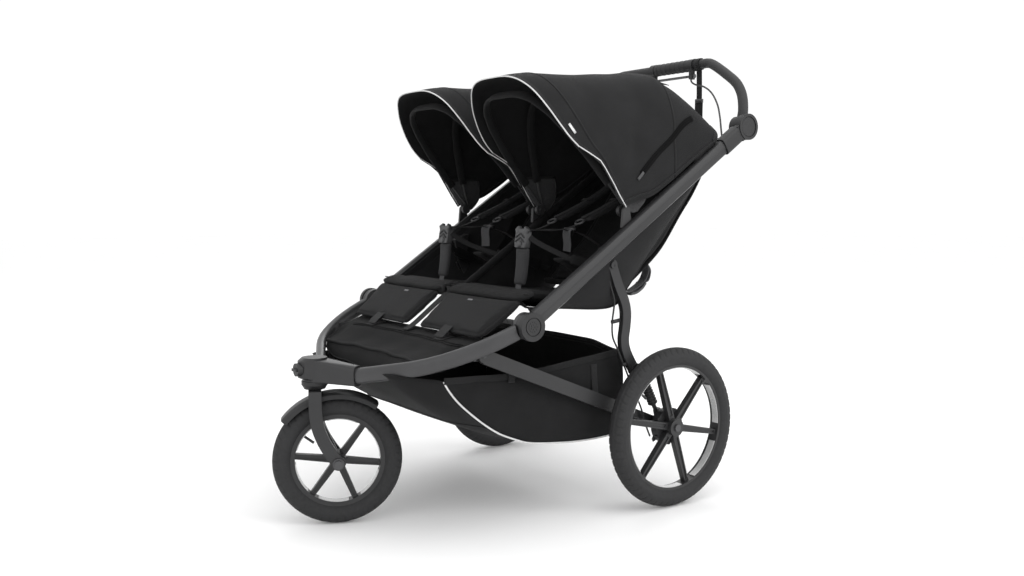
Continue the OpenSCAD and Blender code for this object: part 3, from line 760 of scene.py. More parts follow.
zip_line = [(-98, 814), (-46, 856), (10, 899), (72, 946)]
for s, side in SIDES:
    si = np.linspace(0, 9, 76)
    aa = angles(61)
    G = canopy_grid(s, si, aa)
    n = normals(G)
    flip = bool(n[38, 30][2] < 0)
    o = shell(f"canopy_sheet_{side}", G, 2.0, M["fabric"], flip)
    o.data.materials.append(M["lining"])
    k = 0
    cnt = (len(si) - 1) * (len(aa) - 1)
    for i in range(cnt):                            # the lining faces in
        o.data.polygons[2 * i + 1].material_index = 1
    declare_sheet(G)
    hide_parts(f"canopy_{side}")
    with_canopy(o)
    # piping round the front edge
    e, _ = on_canopy(s, [(0.0, a) for a in angles(70)], 0.4)
    with_canopy(tube(f"canopy_piping_{side}", e, 1.6, M["piping"], 8))
    # hem behind the piping, rear binding and side bindings
    p, nn = on_canopy(s, [(0.17, a) for a in angles(61)], 0.5)
    with_canopy(strap(f"canopy_hem_{side}", p, 11, 1.0, M["binding"], wide=np.gradient(p, axis=0) * 0 + np.cross(unit(np.gradient(p, axis=0)), nn)))
    p, nn = on_canopy(s, [(8.97, a) for a in angles(61)], 0.3)
    with_canopy(strap(f"canopy_rear_binding_{side}", p, 14, 2.2, M["binding"], wide=np.cross(unit(np.gradient(p, axis=0)), nn)))
    for q, a in (("outer", 179.0), ("inner", 1.0)):
        p = A([canopy_point(u, a, 0.6, s) for u in np.linspace(0.05, 9, 40)])
        with_canopy(tube(f"canopy_edge_{q}_{side}", p, 2.6, M["binding"], 8))
    # seams across the cloth, where its panels join, with a ridge of folded cloth
    for q, u in (("front", 1.02), ("rear", 5.35)):
        p, nn = on_canopy(s, [(u + 0.12 * math.sin(math.radians(a)), a) for a in angles(61)], 0.35)
        with_canopy(sweep(f"canopy_seam_{q}_{side}", p, section(3.0, 0.7, 8), M["fabric"], wide=np.cross(unit(np.gradient(p, axis=0)), nn)))
    # zips along both sides, each with a puller at its lower end
    for q in (True, False):
        sia = [nearest(s, y, z, q) for y, z in zip_line]
        sia = [tuple(v) for v in smooth(sia, 8)]
        tag = "outer" if q else "inner"
        p, nn = on_canopy(s, sia, 0.9)
        wd = np.cross(unit(np.gradient(p, axis=0)), nn)
        with_canopy(strap(f"zip_tape_{tag}_{side}", p, 15, 1.4, M["zip"], wide=wd))
        p2, _ = on_canopy(s, sia, 1.6)
        with_canopy(sweep(f"zip_teeth_{tag}_{side}", p2 + wd * 0.5, section(2.2, 1.1, 8, 3), M["zip"], wide=wd))
        p3, n3 = on_canopy(s, sia[:6], 2.6)
        b = p3[1] + n3[1] * 0.6
        tdir = unit(p3[2] - p3[0])
        pull = A([b, b - tdir * 6 + n3[1] * 1.2, b - tdir * 14 + n3[1] * 0.8, b - tdir * 24 + n3[1] * 0.2])
        with_canopy(strap(f"zip_puller_{tag}_{side}", smooth(pull, 3), 7, 2.2, M["buckle"], wide=wd[1]))
    # a small flap over the viewing window, lifted at its lower edge
    u = np.linspace(5.55, 6.55, 10)
    a = np.linspace(72, 108, 18)
    Gf = A([[on_canopy(s, [(uu, aa_)], 1.2 + 9 * ((uu - 5.55) / 1.0) ** 2)[0][0] for aa_ in a] for uu in u])
    with_canopy(shell(f"window_flap_{side}", Gf, 1.6, M["fabric"], bool(normals(Gf)[5, 9][2] < 0)))
    # generic reflective dash on the outer side, near the front edge
    if True:
        sia = [(0.52, a_) for a_ in (np.linspace(147, 152, 5) if True else [])]
        p, nn = on_canopy(s, sia, 0.7)
        with_canopy(strap(f"canopy_dash_{side}", p, 7, 0.8, M["reflective"], wide=np.cross(unit(np.gradient(p, axis=0)), nn)))
    # mottled mesh pockets inside the lower corners
    for q in ("inner", "outer"):
        lft = even(smooth([(-190, 805), (-181, 778), (-164, 749), (-140, 727)], 5), 14)
        rgt = even(smooth([(-86, 808), (-80, 778), (-84, 748), (-108, 722)], 5), 14)
        Gp = []
        for i in range(14):
            row = []
            for j in range(14):
                u_, v_ = j / 13, i / 13
                y, z = lft[i] * (1 - u_) + rgt[i] * u_
                z -= 5 * math.sin(math.pi * u_) * v_ ** 2
                d = 2.5 + 9 * math.sin(math.pi * min(max(u_, 0.0), 1.0)) * (math.sin(math.pi * min(0.12 + 0.88 * v_, 1.0)) ** 0.6 if v_ < 1 else 0) + 0.8 * math.sin(i * 1.3 + j * 0.9)
                x = (6.5 + d) if q == "inner" else (360.5 - d)
                row.append([s * x, y, z])
            Gp.append(row)
        with_canopy(shell(f"canopy_pocket_{q}_{side}", Gp, 0.9, M["mesh"]))
        with_canopy(strap(f"canopy_pocket_hem_{q}_{side}", A(Gp[0]), 7, 1.8, M["binding"], wide=(0, 0, 1)))
    # fabric sleeves over the bows
    for q, (y0_, z0_, y1_, z1_) in (("front", (-132, 728, -378, 1002)), ("rear", (-132, 732, -215, 1024))):
        line = []
        for t in np.linspace(9, 171, 40):
            c, sn = math.cos(math.radians(t)), math.sin(math.radians(t))
            h, f, w = sn ** 0.8, 1 - 12 / 300, 162
            line.append([s * (180 - w * math.copysign(abs(c) ** 0.58, c)), y0_ + (y1_ - y0_) * h * f, z0_ + (z1_ - z0_) * h * f])
        line = A(line)
        rad = unit(line - A([180 * s, -142, 723]))
        tang = unit(np.gradient(line, axis=0))
        wd = np.cross(tang, rad)
        scale = 1 + 0.05 * np.sin(np.arange(len(line)) * 1.7)
        o = sweep(f"bow_sleeve_{q}_{side}", line, section(10.5, 4.6, 16, 2.6), M["lining"], wide=wd, scale=scale)
        put(o, f"canopy_{side}", "fabric")
    # cloth skirt from the canopy's rear corners down to the side tube
    for q, xe in (("outer", 345.5), ("inner", 9.0)):
        a_ = 179.0 if q == "outer" else 1.0
        top_ = A([canopy_point(u, a_, 1.5, s) for u in np.linspace(6.8, 9, 16)])
        bot_ = A([[s * xe, y, 473 + (y + 431) * 0.6755 + (2 if q == "outer" else 14)] for y in np.linspace(top_[0][1] - 8, 172, 16)])
        Gs = A([[top_[i] * (1 - k / 7) + bot_[i] * (k / 7) + A([s * (3 if q == "outer" else -2) * math.sin(math.pi * k / 7) * math.sin(i * 0.7) * 0.5, 0, 0]) for k in range(8)] for i in range(16)])
        with_canopy(shell(f"canopy_skirt_{q}_{side}", Gs, 1.4, M["fabric"]))

# ------------------------------------------------------------------ padded seats
def pad_form(name, line, x0, x1, b, mat, kx=7, n=72, ends=10.0, dish=0.0, taper=None):
    """a closed padded form on a centre line (Y, Z): b is its half thickness"""
    c = even(smooth(line, 6), 46)
    T = unit(np.gradient(c, axis=0))
    N = np.stack([-T[:, 1], T[:, 0]], 1)
    rows = []
    m_ = len(c)
    for i in range(m_):
        v = abs(2 * i / (m_ - 1) - 1)
        f = max(1 - v ** ends, 0.0) ** (1 / 3)
        half = (x1 - x0) / 2 * (0.93 + 0.07 * f) * (taper(i / (m_ - 1)) if taper else 1)
        sec = section(half, (b if np.isscalar(b) else b(i / (m_ - 1))) * max(f, 0.12), n, kx)
        cx = (x0 + x1) / 2
        off = -dish * (1 - (sec[:, 0] / half) ** 2)
        rows.append(np.stack([cx + sec[:, 0], c[i, 0] + N[i, 0] * (sec[:, 1] + off), c[i, 1] + N[i, 1] * (sec[:, 1] + off)], 1))
    V = np.concatenate(rows)
    F = [(i * n + k, (i + 1) * n + k, (i + 1) * n + (k + 1) % n, i * n + (k + 1) % n) for i in range(m_ - 1) for k in range(n)]
    F += [tuple(range(n)), tuple(range(m_ * n - 1, (m_ - 1) * n - 1, -1))]
    return make(name, world(V), F, mat)


def line_dist(c, line):
    """distance (mm) of each point's (Y, Z) along the line, and its arc position"""
    q = even(line, 80)
    d = np.linalg.norm(c[:, None, 1:] - q[None], axis=2)
    return d.min(1), d.argmin(1) / 79.0


LEG_FOLD = dict(joint="fold", axis=(0, 0.79, 0.61), anchor=tuple(world([0, -417, 524])), keep=0.18)
back_c = [(-108, 545), (-50, 592), (10, 641), (72, 720), (112, 774), (150, 832), (161, 857)]
pan_c = [(-402, 535), (-372, 533), (-282, 520), (-190, 511), (-146, 511), (-118, 518)]
leg_c = [(-417, 524), (-440, 505), (-470, 481), (-500, 458), (-521, 444)]

back = pad_form("seat_back_pad_left", back_c, 10, 301, 9.5, M["seat_fabric"], dish=5)
puff(back, cap=5)
L_ = local(back)
d1, t1 = line_dist(L_, back_c)
for v in (0.22, 0.62):
    sew(back, np.abs(t1 - v) * 430 + np.where(np.abs(L_[:, 0] - 155.5) < 122, 0, 40), 2.6, 4.0)
for x in (34, 277):
    sew(back, np.abs(L_[:, 0] - x) + np.abs(np.minimum(t1 - 0.03, 0)) * 200, 2.6, 4.0)
pan = pad_form("seat_pan_pad_left", pan_c, 10, 301, 10.5, M["seat_fabric"], dish=6)
puff(pan, cap=5)
L_ = local(pan)
for x in (42, 269):
    sew(pan, np.abs(L_[:, 0] - x) + np.where(L_[:, 1] < -372, 30, 0), 2.4, 4.0)
sew(pan, np.abs(L_[:, 1] + 372), 3.0, 4.0)
sew(pan, np.abs(L_[:, 1] + 250) + np.where(np.abs(L_[:, 0] - 155.5) < 112, 0, 40), 2.4, 4.0)
leg = pad_form("leg_pad_left_soft", leg_c, 22, 306, lambda v: 6.0 + 2.2 * math.sin(math.pi * v), M["fabric"], kx=9)
c_ = local(leg)
v_ = np.clip((-417 - c_[:, 1]) / 104, 0, 1)
c_[:, 0] = 175.5 - 8.5 * v_ + (c_[:, 0] - 164) / 142 * (153.5 - 19.5 * v_)
setco(leg, world(c_))
puff(leg, cap=4)
L_ = local(leg)
d3, t3 = line_dist(L_, leg_c)
edge = np.abs(np.abs(L_[:, 0] - 175.5 + 8.5 * t3) - (153.5 - 19.5 * t3) + 9)
edge = np.minimum(edge, np.minimum(np.abs(t3 - 0.92), np.abs(t3 - 0.06)) * 132)
sew(leg, edge, 1.8, 2.6)
relax(leg, 1)

for o, slot, node, body, fill in ((back, "seat_fabric", "seat_back_left", "seat_back_left", 0.6), (pan, "seat_fabric", "seat_pan_left", "upper_frame", 0.5), (leg, "fabric", "leg_pad_left", "upper_frame", 0.55)):
    r = copy_mirrored(o, o.name.replace("left", "right"))
    put(o, body, slot, node)
    put(r, body.replace("left", "right"), slot, node.replace("left", "right"))
    if o is leg:
        for q in (o, r):
            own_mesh(q)

for s, side in SIDES:
    # rolled seam the back reclines on
    roll = A([[s * x, -114 + 0.6 * math.sin(x * 0.11), 537 + 0.5 * math.sin(x * 0.07 + 1)] for x in np.linspace(10, 301, 60)])
    put(tube(f"seat_roll_{side}", roll, 7.6, M["seat_fabric"], 12), f"seat_back_{side}", "seat_fabric")
    # outer shell of the back, hung behind the pad, with a pocket
    rear = smooth([(-100, 532), (-38, 577), (24, 629), (88, 711), (131, 764), (169, 826), (172, 862)], 6)
    rear = even(rear, 40)
    T = unit(np.gradient(rear, axis=0))
    N = np.stack([T[:, 1], -T[:, 0]], 1)
    G = A([[[s * x, *(rear[i] + N[i] * (0.4 + 2.6 * max(math.sin(math.pi * (x - 9) / 293), 0) ** 0.7 * (1 + 0.25 * math.sin(i * 0.7 + x * 0.03))))]
             for x in np.linspace(9, 302, 36)] for i in range(len(rear))])
    o = shell(f"seat_back_shell_{side}", G, 1.6, M["fabric"], bool(normals(G)[20, 18][1] < 0))
    declare_sheet(G)
    put(o, f"seat_back_{side}", "fabric")
    pk = A([[[s * x, *(rear[i] + N[i] * (4.4 + 5.0 * max(math.sin(math.pi * (x - 40) / 224), 0) ** 0.6 * ((i - 12) / 14.0) ** 0.8))]
              for x in np.linspace(40, 264, 26)] for i in range(12, 27)])
    put(shell(f"back_pocket_{side}", pk, 1.2, M["mesh"], bool(normals(pk)[6, 12][1] < 0)), f"seat_back_{side}", "fabric")
    put(strap(f"back_pocket_hem_{side}", pk[-1] + A([0, 0.6, 0]), 13, 2.4, M["binding"], wide=A([0, T[26][0], T[26][1]])), f"seat_back_{side}", "webbing")
    # side wings of the back, folded inside the side panel at rest, that fill the gap on reclining
    base = even(smooth([(-112, 540), (-50, 586), (14, 637), (78, 716), (120, 769), (156, 826), (166, 858)], 6), 30)
    for q, x in (("outer", 304.2), ("inner", 5.4)):
        G = A([[[s * x, base[i][0] - (0.9 * k / 6) * 118 * (i / 29) ** 0.9, base[i][1] + (0.28 * k / 6) * 60 * (i / 29)] for k in range(7)] for i in range(30)])
        keep_z = 0.6755 * (G[..., 1] + 431) + 473 - 22
        G[..., 2] = np.minimum(G[..., 2], np.maximum(keep_z, G[:, :1, 2] * 0 + 540))
        put(shell(f"back_wing_{q}_{side}", G, 0.8, M["seat_fabric"]), f"seat_back_{side}", "seat_fabric")
    # outer side panel, from the side tube down and in under the seat
    low = even(smooth([(-412, 522), (-398, 508), (-342, 503), (-282, 499), (-190, 492), (-138, 496), (-110, 520), (-74, 560), (-40, 600), (22, 668), (63, 716), (106, 766), (149, 833), (158, 862)], 5), 74)
    dist = np.concatenate([[0], np.cumsum(np.linalg.norm(np.diff(low, axis=0), axis=1))])
    tt = dist / dist[-1]
    up = np.stack([np.interp(tt, [0, 0.15, 0.4, 0.55, 1], [-404, -345, -215, -110, 168]), np.zeros(len(low))], 1)
    up[:, 1] = 473 + (up[:, 0] + 431) * 0.6755 - 9
    rows = []
    for i in range(len(low)):
        a_, b_ = A([346.4, up[i][0], up[i][1]]), A([308.0, low[i][0], low[i][1]])
        c_ = A([338 + 5 * math.sin(tt[i] * 9), low[i][0] * 0.72 + up[i][0] * 0.28, low[i][1] * 0.72 + up[i][1] * 0.28])
        u = np.linspace(0, 1, 16)[:, None]
        q = (1 - u) ** 2 * a_ + 2 * u * (1 - u) * c_ + u ** 2 * b_
        q[:, 0] += 1.3 * np.sin(u[:, 0] * math.pi) * math.sin(i * 0.33)
        q[:, 0] *= s
        rows.append(q)
    G = A(rows)
    o = shell(f"side_panel_{side}", G, 1.8, M["fabric"], bool(normals(G)[30, 8][0] * s < 0))
    declare_sheet(G)
    put(o, "upper_frame", "seat_fabric", f"side_wall_{side}")
    p = G[:, -1] + A([0.0, 0, 0])
    put(tube(f"side_panel_seam_{side}", p, 2.2, M["binding"], 8), "upper_frame", "webbing")
    # webbing channel that holds the panel to the tube
    ch = A([[s * 345.2, y, 473 + (y + 431) * 0.6755 - 4] for y in np.linspace(-392, 168, 40)])
    put(strap(f"tube_channel_{side}", ch, 20, 2.2, M["binding"], wide=(0, -0.56, 0.83)), "upper_frame", "webbing")
    # seat bottom sheet under the pan
    und = even(smooth([(-420, 536), (-408, 514), (-342, 504), (-282, 499), (-190, 492), (-130, 498), (-106, 520)], 5), 30)
    G = A([[[s * x, und[i][0], und[i][1] - 3.0 * max(math.sin(math.pi * (x - 6) / 300), 0) ** 0.8] for x in np.linspace(6, 312, 30)] for i in range(len(und))])
    o = shell(f"seat_sling_{side}", G, 1.6, M["fabric"], bool(normals(G)[15, 15][2] > 0))
    declare_sheet(G)
    put(o, "upper_frame", "fabric")
    # plain woven tag and webbing tab of the leg pad
    top = smooth(leg_c, 6)
    # quilted roll along the seat's front edge, over the top of the leg pad
    rl = A([[s * x, -403 + 0.5 * math.sin(x * 0.05), 533.5 + 0.5 * math.sin(x * 0.041 + 1)] for x in np.linspace(12, 333, 70)])
    fr = np.clip(1 - np.abs(np.linspace(-1, 1, 70)) ** 14, 0.05, 1) ** 0.5
    o = sweep(f"seat_front_roll_{side}", rl, section(24, 7.5, 30, 2.8), M["seat_fabric"], wide=(0, 0.95, 0.30), scale=np.stack([fr, fr * (1 + 0.03 * np.sin(np.arange(70) * 0.8))], 1))
    put(o, "upper_frame", "seat_fabric")
    put(tube(f"seat_front_seam_{side}", rl + A([0, -6, 5.4]), 1.2, M["binding"], 8), "upper_frame", "webbing")
    q = even(smooth([(-424, 531.5), (-440, 516.5), (-452, 507)], 5), 9)
    q = A([[s * 152, y, z] for y, z in q[5:7]])
    o = put(strap(f"leg_tag_{side}", q + A([0, -1.9, 1.9]), 20, 0.8, M["tag"], wide=(1, 0, 0)), "upper_frame", "reflective")
    # flat strap down the middle of the leg pad's lower edge
    tab = smooth([[s * 165, -505, 465], [s * 165, -520, 453.5], [s * 165, -530, 446], [s * 165, -536, 440], [s * 165, -541, 437]], 4)
    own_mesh(o)
    o = put(strap(f"leg_tab_{side}", tab, 38, 1.6, M["webbing"], wide=(1, 0, 0)), "upper_frame", "webbing")
    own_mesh(o)

# ------------------------------------------------------------------ divider between the seats
slope = math.atan2(460, 681)
line = A([[0.0, -431 + 70 * math.cos(slope) - 12 * math.sin(slope) + t * math.cos(slope), 473 + 70 * math.sin(slope) + 12 * math.cos(slope) + t * math.sin(slope)] for t in np.linspace(0, 560, 70)])
wig = 1 + 0.035 * np.sin(np.arange(70) * 1.3) + 0.02 * np.sin(np.arange(70) * 0.47)
div = sweep("divider_sleeve", line, section(7.4, 8.8, 20, 2.3), M["seat_fabric"], wide=(1, 0, 0), scale=wig)
put(div, "upper_frame", "seat_fabric", "centre_divider")
low = even(smooth([(-408, 544), (-400, 524), (-282, 507), (-190, 499), (-130, 500), (-94, 508), (-58, 542), (0, 636), (78, 742), (120, 792), (146, 838)], 4), 60)
upp = even(line[:, 1:], 60)
G = A([[[2.2 * math.sin(i * 0.31 + k * 0.5) * math.sin(math.pi * k / 11), *(upp[i] * (1 - k / 11) + low[i] * (k / 11))] for k in range(12)] for i in range(60)])
o = shell("divider_sheet", G, 1.8, M["seat_fabric"])
declare_sheet(G)
put(o, "upper_frame", "seat_fabric")
o = plate("divider_bracket", [(-154, 690), (-128, 708), (-132, 726), (-138, 733), (-146, 733), (-152, 726)], -5, 5, M["moulding"], 1.0)
put(o, "upper_frame", "moulding")
put(tube("divider_pin", A([[x, -142, 723] for x in (-23, -12, 0, 12, 23)]), 4, M["steel"], 20), "upper_frame", "steel")

tether = smooth([[0, -386, 527], [0, -410, 521], [0, -440, 500], [0, -480, 470], [0, -512, 447], [0, -534, 436]], 5)
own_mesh(put(strap("centre_tether", tether, 26, 2.0, M["webbing"], wide=(1, 0, 0)), "upper_frame", "webbing"))

# back cover: two panels slung from the tops of the seats to the cross tube
for s, side in SIDES:
    q = even(smooth([(113, 878), (132, 888), (152, 895), (176, 902), (196, 907)], 5), 16)
    G = A([[[s * x, p[0], p[1] - 4.0 * max(math.sin(math.pi * i / 15), 0) * max(math.sin(math.pi * (x - 16) / 282), 0) ** 0.6] for x in np.linspace(16, 302, 40)] for i, p in enumerate(q)])
    o = shell(f"back_cover_{side}", G, 1.8, M["fabric"], bool(normals(G)[8, 20][2] < 0))
    declare_sheet(G)
    put(o, "upper_frame", "fabric", *(["back_cover"] if s > 0 else []))
    loop = A([[s * x, 205, 897] for x in np.linspace(18, 296, 30)])
    put(sweep(f"cross_tube_channel_{side}", loop, section(12.0, 12.0, 20) * A([1, 1]), M["fabric"], scale=1 + 0.03 * np.sin(np.arange(30) * 1.9)), "upper_frame", "fabric")
    put(strap(f"back_cover_hem_{side}", G[0] + A([0, 0, 0.8]), 12, 2.0, M["binding"], wide=(0, 0.8, 0.5)), "upper_frame", "webbing")

# ------------------------------------------------------------------ harness
for s, side in SIDES:
    body = f"seat_back_{side}"
    first = True
    for x, sg in ((122, -1), (231, 1)):
        c = smooth([[s * x, 120, 860], [s * x, 92, 840], [s * x, 30, 794], [s * x, -40, 754], [s * x, -110, 722], [s * x, -166, 700]], 6)
        m_ = len(c)
        t = np.linspace(-1, 1, m_)
        f = np.clip(1 - np.abs(t) ** 8, 0.02, 1) ** 0.5
        wv = 1 + 0.05 * np.sin(np.arange(m_) * 0.9)
        o = sweep(f"shoulder_pad_{side}_{x}", c, section(19, 7.0, 24, 3.4), M["strap_pad"], wide=(1, 0, 0), scale=np.stack([0.86 + 0.14 * f, f * wv], 1))
        put(o, body, "webbing", *([f"harness_{side}"] if first else []))
        first = False
        T = unit(np.gradient(c, axis=0))
        nrm = np.cross(T, A([s * 1.0, 0, 0]))
        nrm *= np.where(nrm[:, 1:2] > 0, -1, 1)
        put(strap(f"shoulder_web_{side}_{x}", c + nrm * 7.4, 17, 1.8, M["webbing"]), body, "webbing")
        put(strap(f"pad_keeper_{side}_{x}", A([c[20] + nrm[20] * 8.8 + A([-18, 0, 0]), c[20] + nrm[20] * 9.2, c[20] + nrm[20] * 8.8 + A([18, 0, 0])]), 12, 1.6, M["binding"], wide=T[20]), body, "webbing")
        # adjuster ring and the web below it, down to the buckle
        ring = A([[s * x + 13 * math.cos(a), -180 + 8.0 * math.sin(a), 696 + 5.5 * math.sin(a)] for a in np.linspace(0, 2 * math.pi, 28, endpoint=False)])
        put(tube(f"adjuster_ring_{side}_{x}", ring, 2.5, M["buckle"], 10, closed=True), body, "buckle")
        tgt = s * (176 + sg * 15)
        w = smooth([[s * x, -166, 699], [s * x, -186, 690], [s * (x - sg * 5), -214, 681], [s * (x - sg * 14), -244, 676], [s * (x - sg * 26), -276, 677], [tgt, -302, 676]], 7)
        put(strap(f"chest_web_{side}_{x}", w, 17, 1.7, M["webbing"], wide=(1, 0.05 * sg, 0.1)), body, "webbing")
        # hip web from the buckle back to the side of the seat, with a small pad
        xe = 280 if sg > 0 else 34
        h = smooth([[s * (176 + sg * 18), -306, 664], [s * (176 + sg * 34), -296, 650], [s * (176 + sg * 60), -264, 628], [s * (xe - sg * 16), -214, 602], [s * (xe - sg * 3), -160, 580], [s * xe, -118, 568]], 6)
        put(strap(f"hip_web_{side}_{x}", h, 14, 1.6, M["binding"], wide=(0, 0.8, 0.6)), body, "webbing")
        hp = smooth([[s * (xe - sg * 22), -228, 609], [s * (xe - sg * 12), -196, 596], [s * (xe - sg * 4), -158, 580]], 6)
        f2 = np.clip(1 - np.abs(np.linspace(-1, 1, len(hp))) ** 6, 0.02, 1) ** 0.5
        o = sweep(f"hip_pad_{side}_{x}", hp, section(13, 4, 20, 3.2), M["seat_fabric"], wide=(0, 0.75, 0.66), scale=np.stack([0.8 + 0.2 * f2, f2], 1))
        put(o, body, "webbing")
    # strap straight back from the buckle to the seat, with its grey end hanging from it
    w = smooth([[s * 176, -300, 676], [s * 176, -262, 676], [s * 177, -214, 677], [s * 178, -172, 674], [s * 178, -120, 660], [s * 178, -60, 628], [s * 178, -26, 618]], 6)
    put(strap(f"centre_web_{side}", w, 18, 1.7, M["webbing"]), body, "webbing")
    w = smooth([[s * 180, -168, 677], [s * 180, -178, 673], [s * 180.5, -180, 660], [s * 181, -178, 640], [s * 180, -179, 622]], 5)
    put(strap(f"centre_tab_{side}", w, 34, 2.4, M["grey_webbing"], wide=(1, -0.1 * s, 0)), body, "grey_webbing")
    put(sweep(f"centre_slider_{side}", A([[s * 180, -162, 676.5], [s * 180, -168, 677.5], [s * 180, -174, 677]]), section(18, 4, 18, 5), M["buckle"], wide=(1, 0, 0)), body, "buckle")
    hp = smooth([[s * 181, -206, 604], [s * 181, -184, 596], [s * 181, -156, 580], [s * 181, -134, 563]], 6)
    f2 = np.clip(1 - np.abs(np.linspace(-1, 1, len(hp))) ** 6, 0.02, 1) ** 0.5
    o = sweep(f"centre_pad_{side}", hp, section(23, 6, 22, 3.2), M["strap_pad"], wide=(1, 0, 0), scale=np.stack([0.85 + 0.15 * f2, f2], 1))
    put(o, body, "webbing")
    # crotch strap with its padded grey sleeve
    c = smooth([[s * 176, -320, 546], [s * 176, -316, 564], [s * 176, -312, 592], [s * 176, -310, 618], [s * 176, -309.5, 634]], 7)
    m_ = len(c)
    t = np.linspace(0, 1, m_)
    f = np.clip(1 - np.abs(2 * t - 1) ** 9, 0.02, 1) ** 0.5
    o = sweep(f"crotch_pad_{side}", c, section(23, 8.0, 26, 3.2), M["crotch"], wide=(1, 0, 0), scale=np.stack([(0.8 + 0.2 * t) * (0.9 + 0.1 * f), f], 1))
    put(o, "upper_frame", "webbing", *(["crotch_pads"] if s > 0 else []))
    put(strap(f"crotch_web_{side}", smooth([[s * 176, -325, 530], [s * 176, -322, 546], [s * 176, -317, 560]], 4), 22, 2.0, M["grey_webbing"]), "upper_frame", "webbing")

# ------------------------------------------------------------------ footwell
def foot_front(x):
    ax = abs(x)
    if ax > 212:
        return -431 - math.sqrt(max(236 ** 2 - (ax - 110) ** 2, 0))
    return max(-657.6 - (215.7 - ax) * 0.4663 + 15, -688)


rows = []
prof = smooth([(0, 436), (0.25, 434), (0.42, 430), (0.52, 424), (0.62, 412), (0.72, 403), (0.85, 396), (1, 391)], 4)
for i in range(34):
    v = i / 33
    row = []
    for j in range(61):
        x = -297 + 594 * j / 60
        yb = -492.0
        yf = min(max(foot_front(x), -606 - 25 * (x / 235) ** 2), yb - 14)
        y = yb + (yf - yb) * v
        zc = np.interp(v, prof[:, 0], prof[:, 1])
        ze = 473 + 0.4245 * (y + 431) - 2
        edge_ = (abs(x) / 297) ** 7
        z = zc * (1 - edge_) + min(ze, zc + 60) * edge_ + 1.4 * math.sin(x * 0.05 + v * 7) * (1 - edge_) * v
        row.append([x, y, z])
    rows.append(row)
G = A(rows)
o = shell("footwell_sheet", G, 2.4, M["seat_fabric"], bool(normals(G)[16, 30][2] < 0))
declare_sheet(G)
put(o, "front_frame", "fabric", "footwell")
FG = G
put(tube("footwell_lip", G[-1] + A([0, 0.5, -1.0]), 4.2, M["fabric"], 14), "front_frame", "fabric")
fl_ = []
for i in range(9):
    v = i / 8
    fl_.append([[q[0] * (1 - 0.03 * v), q[1] - (26 * v + 4 * math.sin(math.pi * v)) * max(1 - (abs(q[0]) / 250) ** 4, 0), q[2] - 2 - (40 * v) * max(1 - (abs(q[0]) / 262) ** 4, 0.12) + 1.2 * math.sin(q[0] * 0.04) * v] for q in G[-1][6:-6]])
fl_ = A(fl_)
o = shell("footwell_front", fl_, 2.2, M["seat_fabric"], bool(normals(fl_)[4, 24][1] > 0))
declare_sheet(fl_)
put(o, "front_frame", "fabric")
put(strap("footwell_front_binding", fl_[-1], 9, 2.6, M["binding"], wide=(0, 0.5, -0.86)), "front_frame", "webbing")
put(sweep("footwell_seam", G[15][3:-3] + A([0, -0.3, 0.7]), section(2.6, 0.7, 8), M["fabric"], wide=(0, 1, -0.6)), "front_frame", "fabric")
put(sweep("footwell_seam_rear", G[13][3:-3] + A([0, -0.3, 0.7]), section(2.6, 0.7, 8), M["fabric"], wide=(0, 1, -0.4)), "front_frame", "fabric")
put(strap("footwell_rear_binding", G[0][1:-1] + A([0, 0.5, 0.4]), 12, 3.0, M["binding"], wide=(0, 0.98, 0.1)), "front_frame", "webbing")
for x in (-165, 165):
    j = int(round((x + 297) / 594 * 60))
    put(strap(f"footwell_tab_{x + 300}", A([G[i][j] + A([0, 0, 1.6]) for i in (3, 6, 9, 12, 14)]), 38, 1.6, M["webbing"], wide=(1, 0, 0)), "front_frame", "webbing")

# ------------------------------------------------------------------ basket
oa = even(smooth([(-604, 358), (-592, 338), (-565, 306), (-516, 264), (-464, 228), (-412, 205), (-376, 193), (-313, 184), (-228, 177), (-140, 178), (-108, 186), (-100, 230), (-102, 300), (-112, 379)], 5), 70)
ob = even(smooth([(-690, 366), (-664, 338), (-600, 286), (-520, 238), (-450, 208), (-407, 197), (-340, 184), (-260, 174), (-180, 170), (-130, 176), (-100, 196), (-96, 250), (-100, 320), (-118, 396)], 5), 70)
# matched by place along Y rather than by length, so the cloth runs straight across
rim_pts = A([(-700, 360), (-604, 358), (-454, 352), (-343, 356), (-112, 380)])
rows = []
for i in range(70):
    a_, b_ = oa[i], ob[i]
    row = []
    zr = np.interp(a_[0], rim_pts[:, 0], rim_pts[:, 1])
    zr = max(zr, a_[1])
    for k in range(9):                              # side wall, from the rim down to the seam
        w = k / 9
        bul = 7 * math.sin(math.pi * w) * min(1, (zr - a_[1]) / 90) + 1.5 * math.sin(i * 0.45 + k) * min(1, (zr - a_[1]) / 120)
        row.append([295 + bul - 2 * w, a_[0], zr * (1 - w) + a_[1] * w])
    for k in range(33):                             # across the bottom
        u = k / 32 * 2 - 1
        f = min(1.0, (1 - abs(u)) / 0.34)
        f = f * f * (3 - 2 * f)
        sag = 5 * (1 - u * u) * math.exp(-((i - 38) / 16.0) ** 2)
        p = a_ * (1 - f) + b_ * f
        row.append([-u * 292, p[0], p[1] - sag + 1.2 * math.sin(i * 0.5 + u * 6) * (1 - abs(u))])
    for k in range(9):
        w = 1 - k / 8 if False else (k + 1) / 9
        bul = 7 * math.sin(math.pi * w) * min(1, (zr - a_[1]) / 90) + 1.5 * math.sin(i * 0.45 + k + 1) * min(1, (zr - a_[1]) / 120)
        row.append([-(293 + bul + 2 * w), a_[0], a_[1] * (1 - w) + zr * w])
    rows.append(row)
G = A(rows)
SQ = dict(joint="fold", axis=(0, 0.380, 0.925), anchor=tuple(world([0, 0, 195.5])), keep=0.3)


def with_basket(o, slot, *nodes):
    put(o, "lower_frame", slot, *nodes)
    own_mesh(o)
    return o


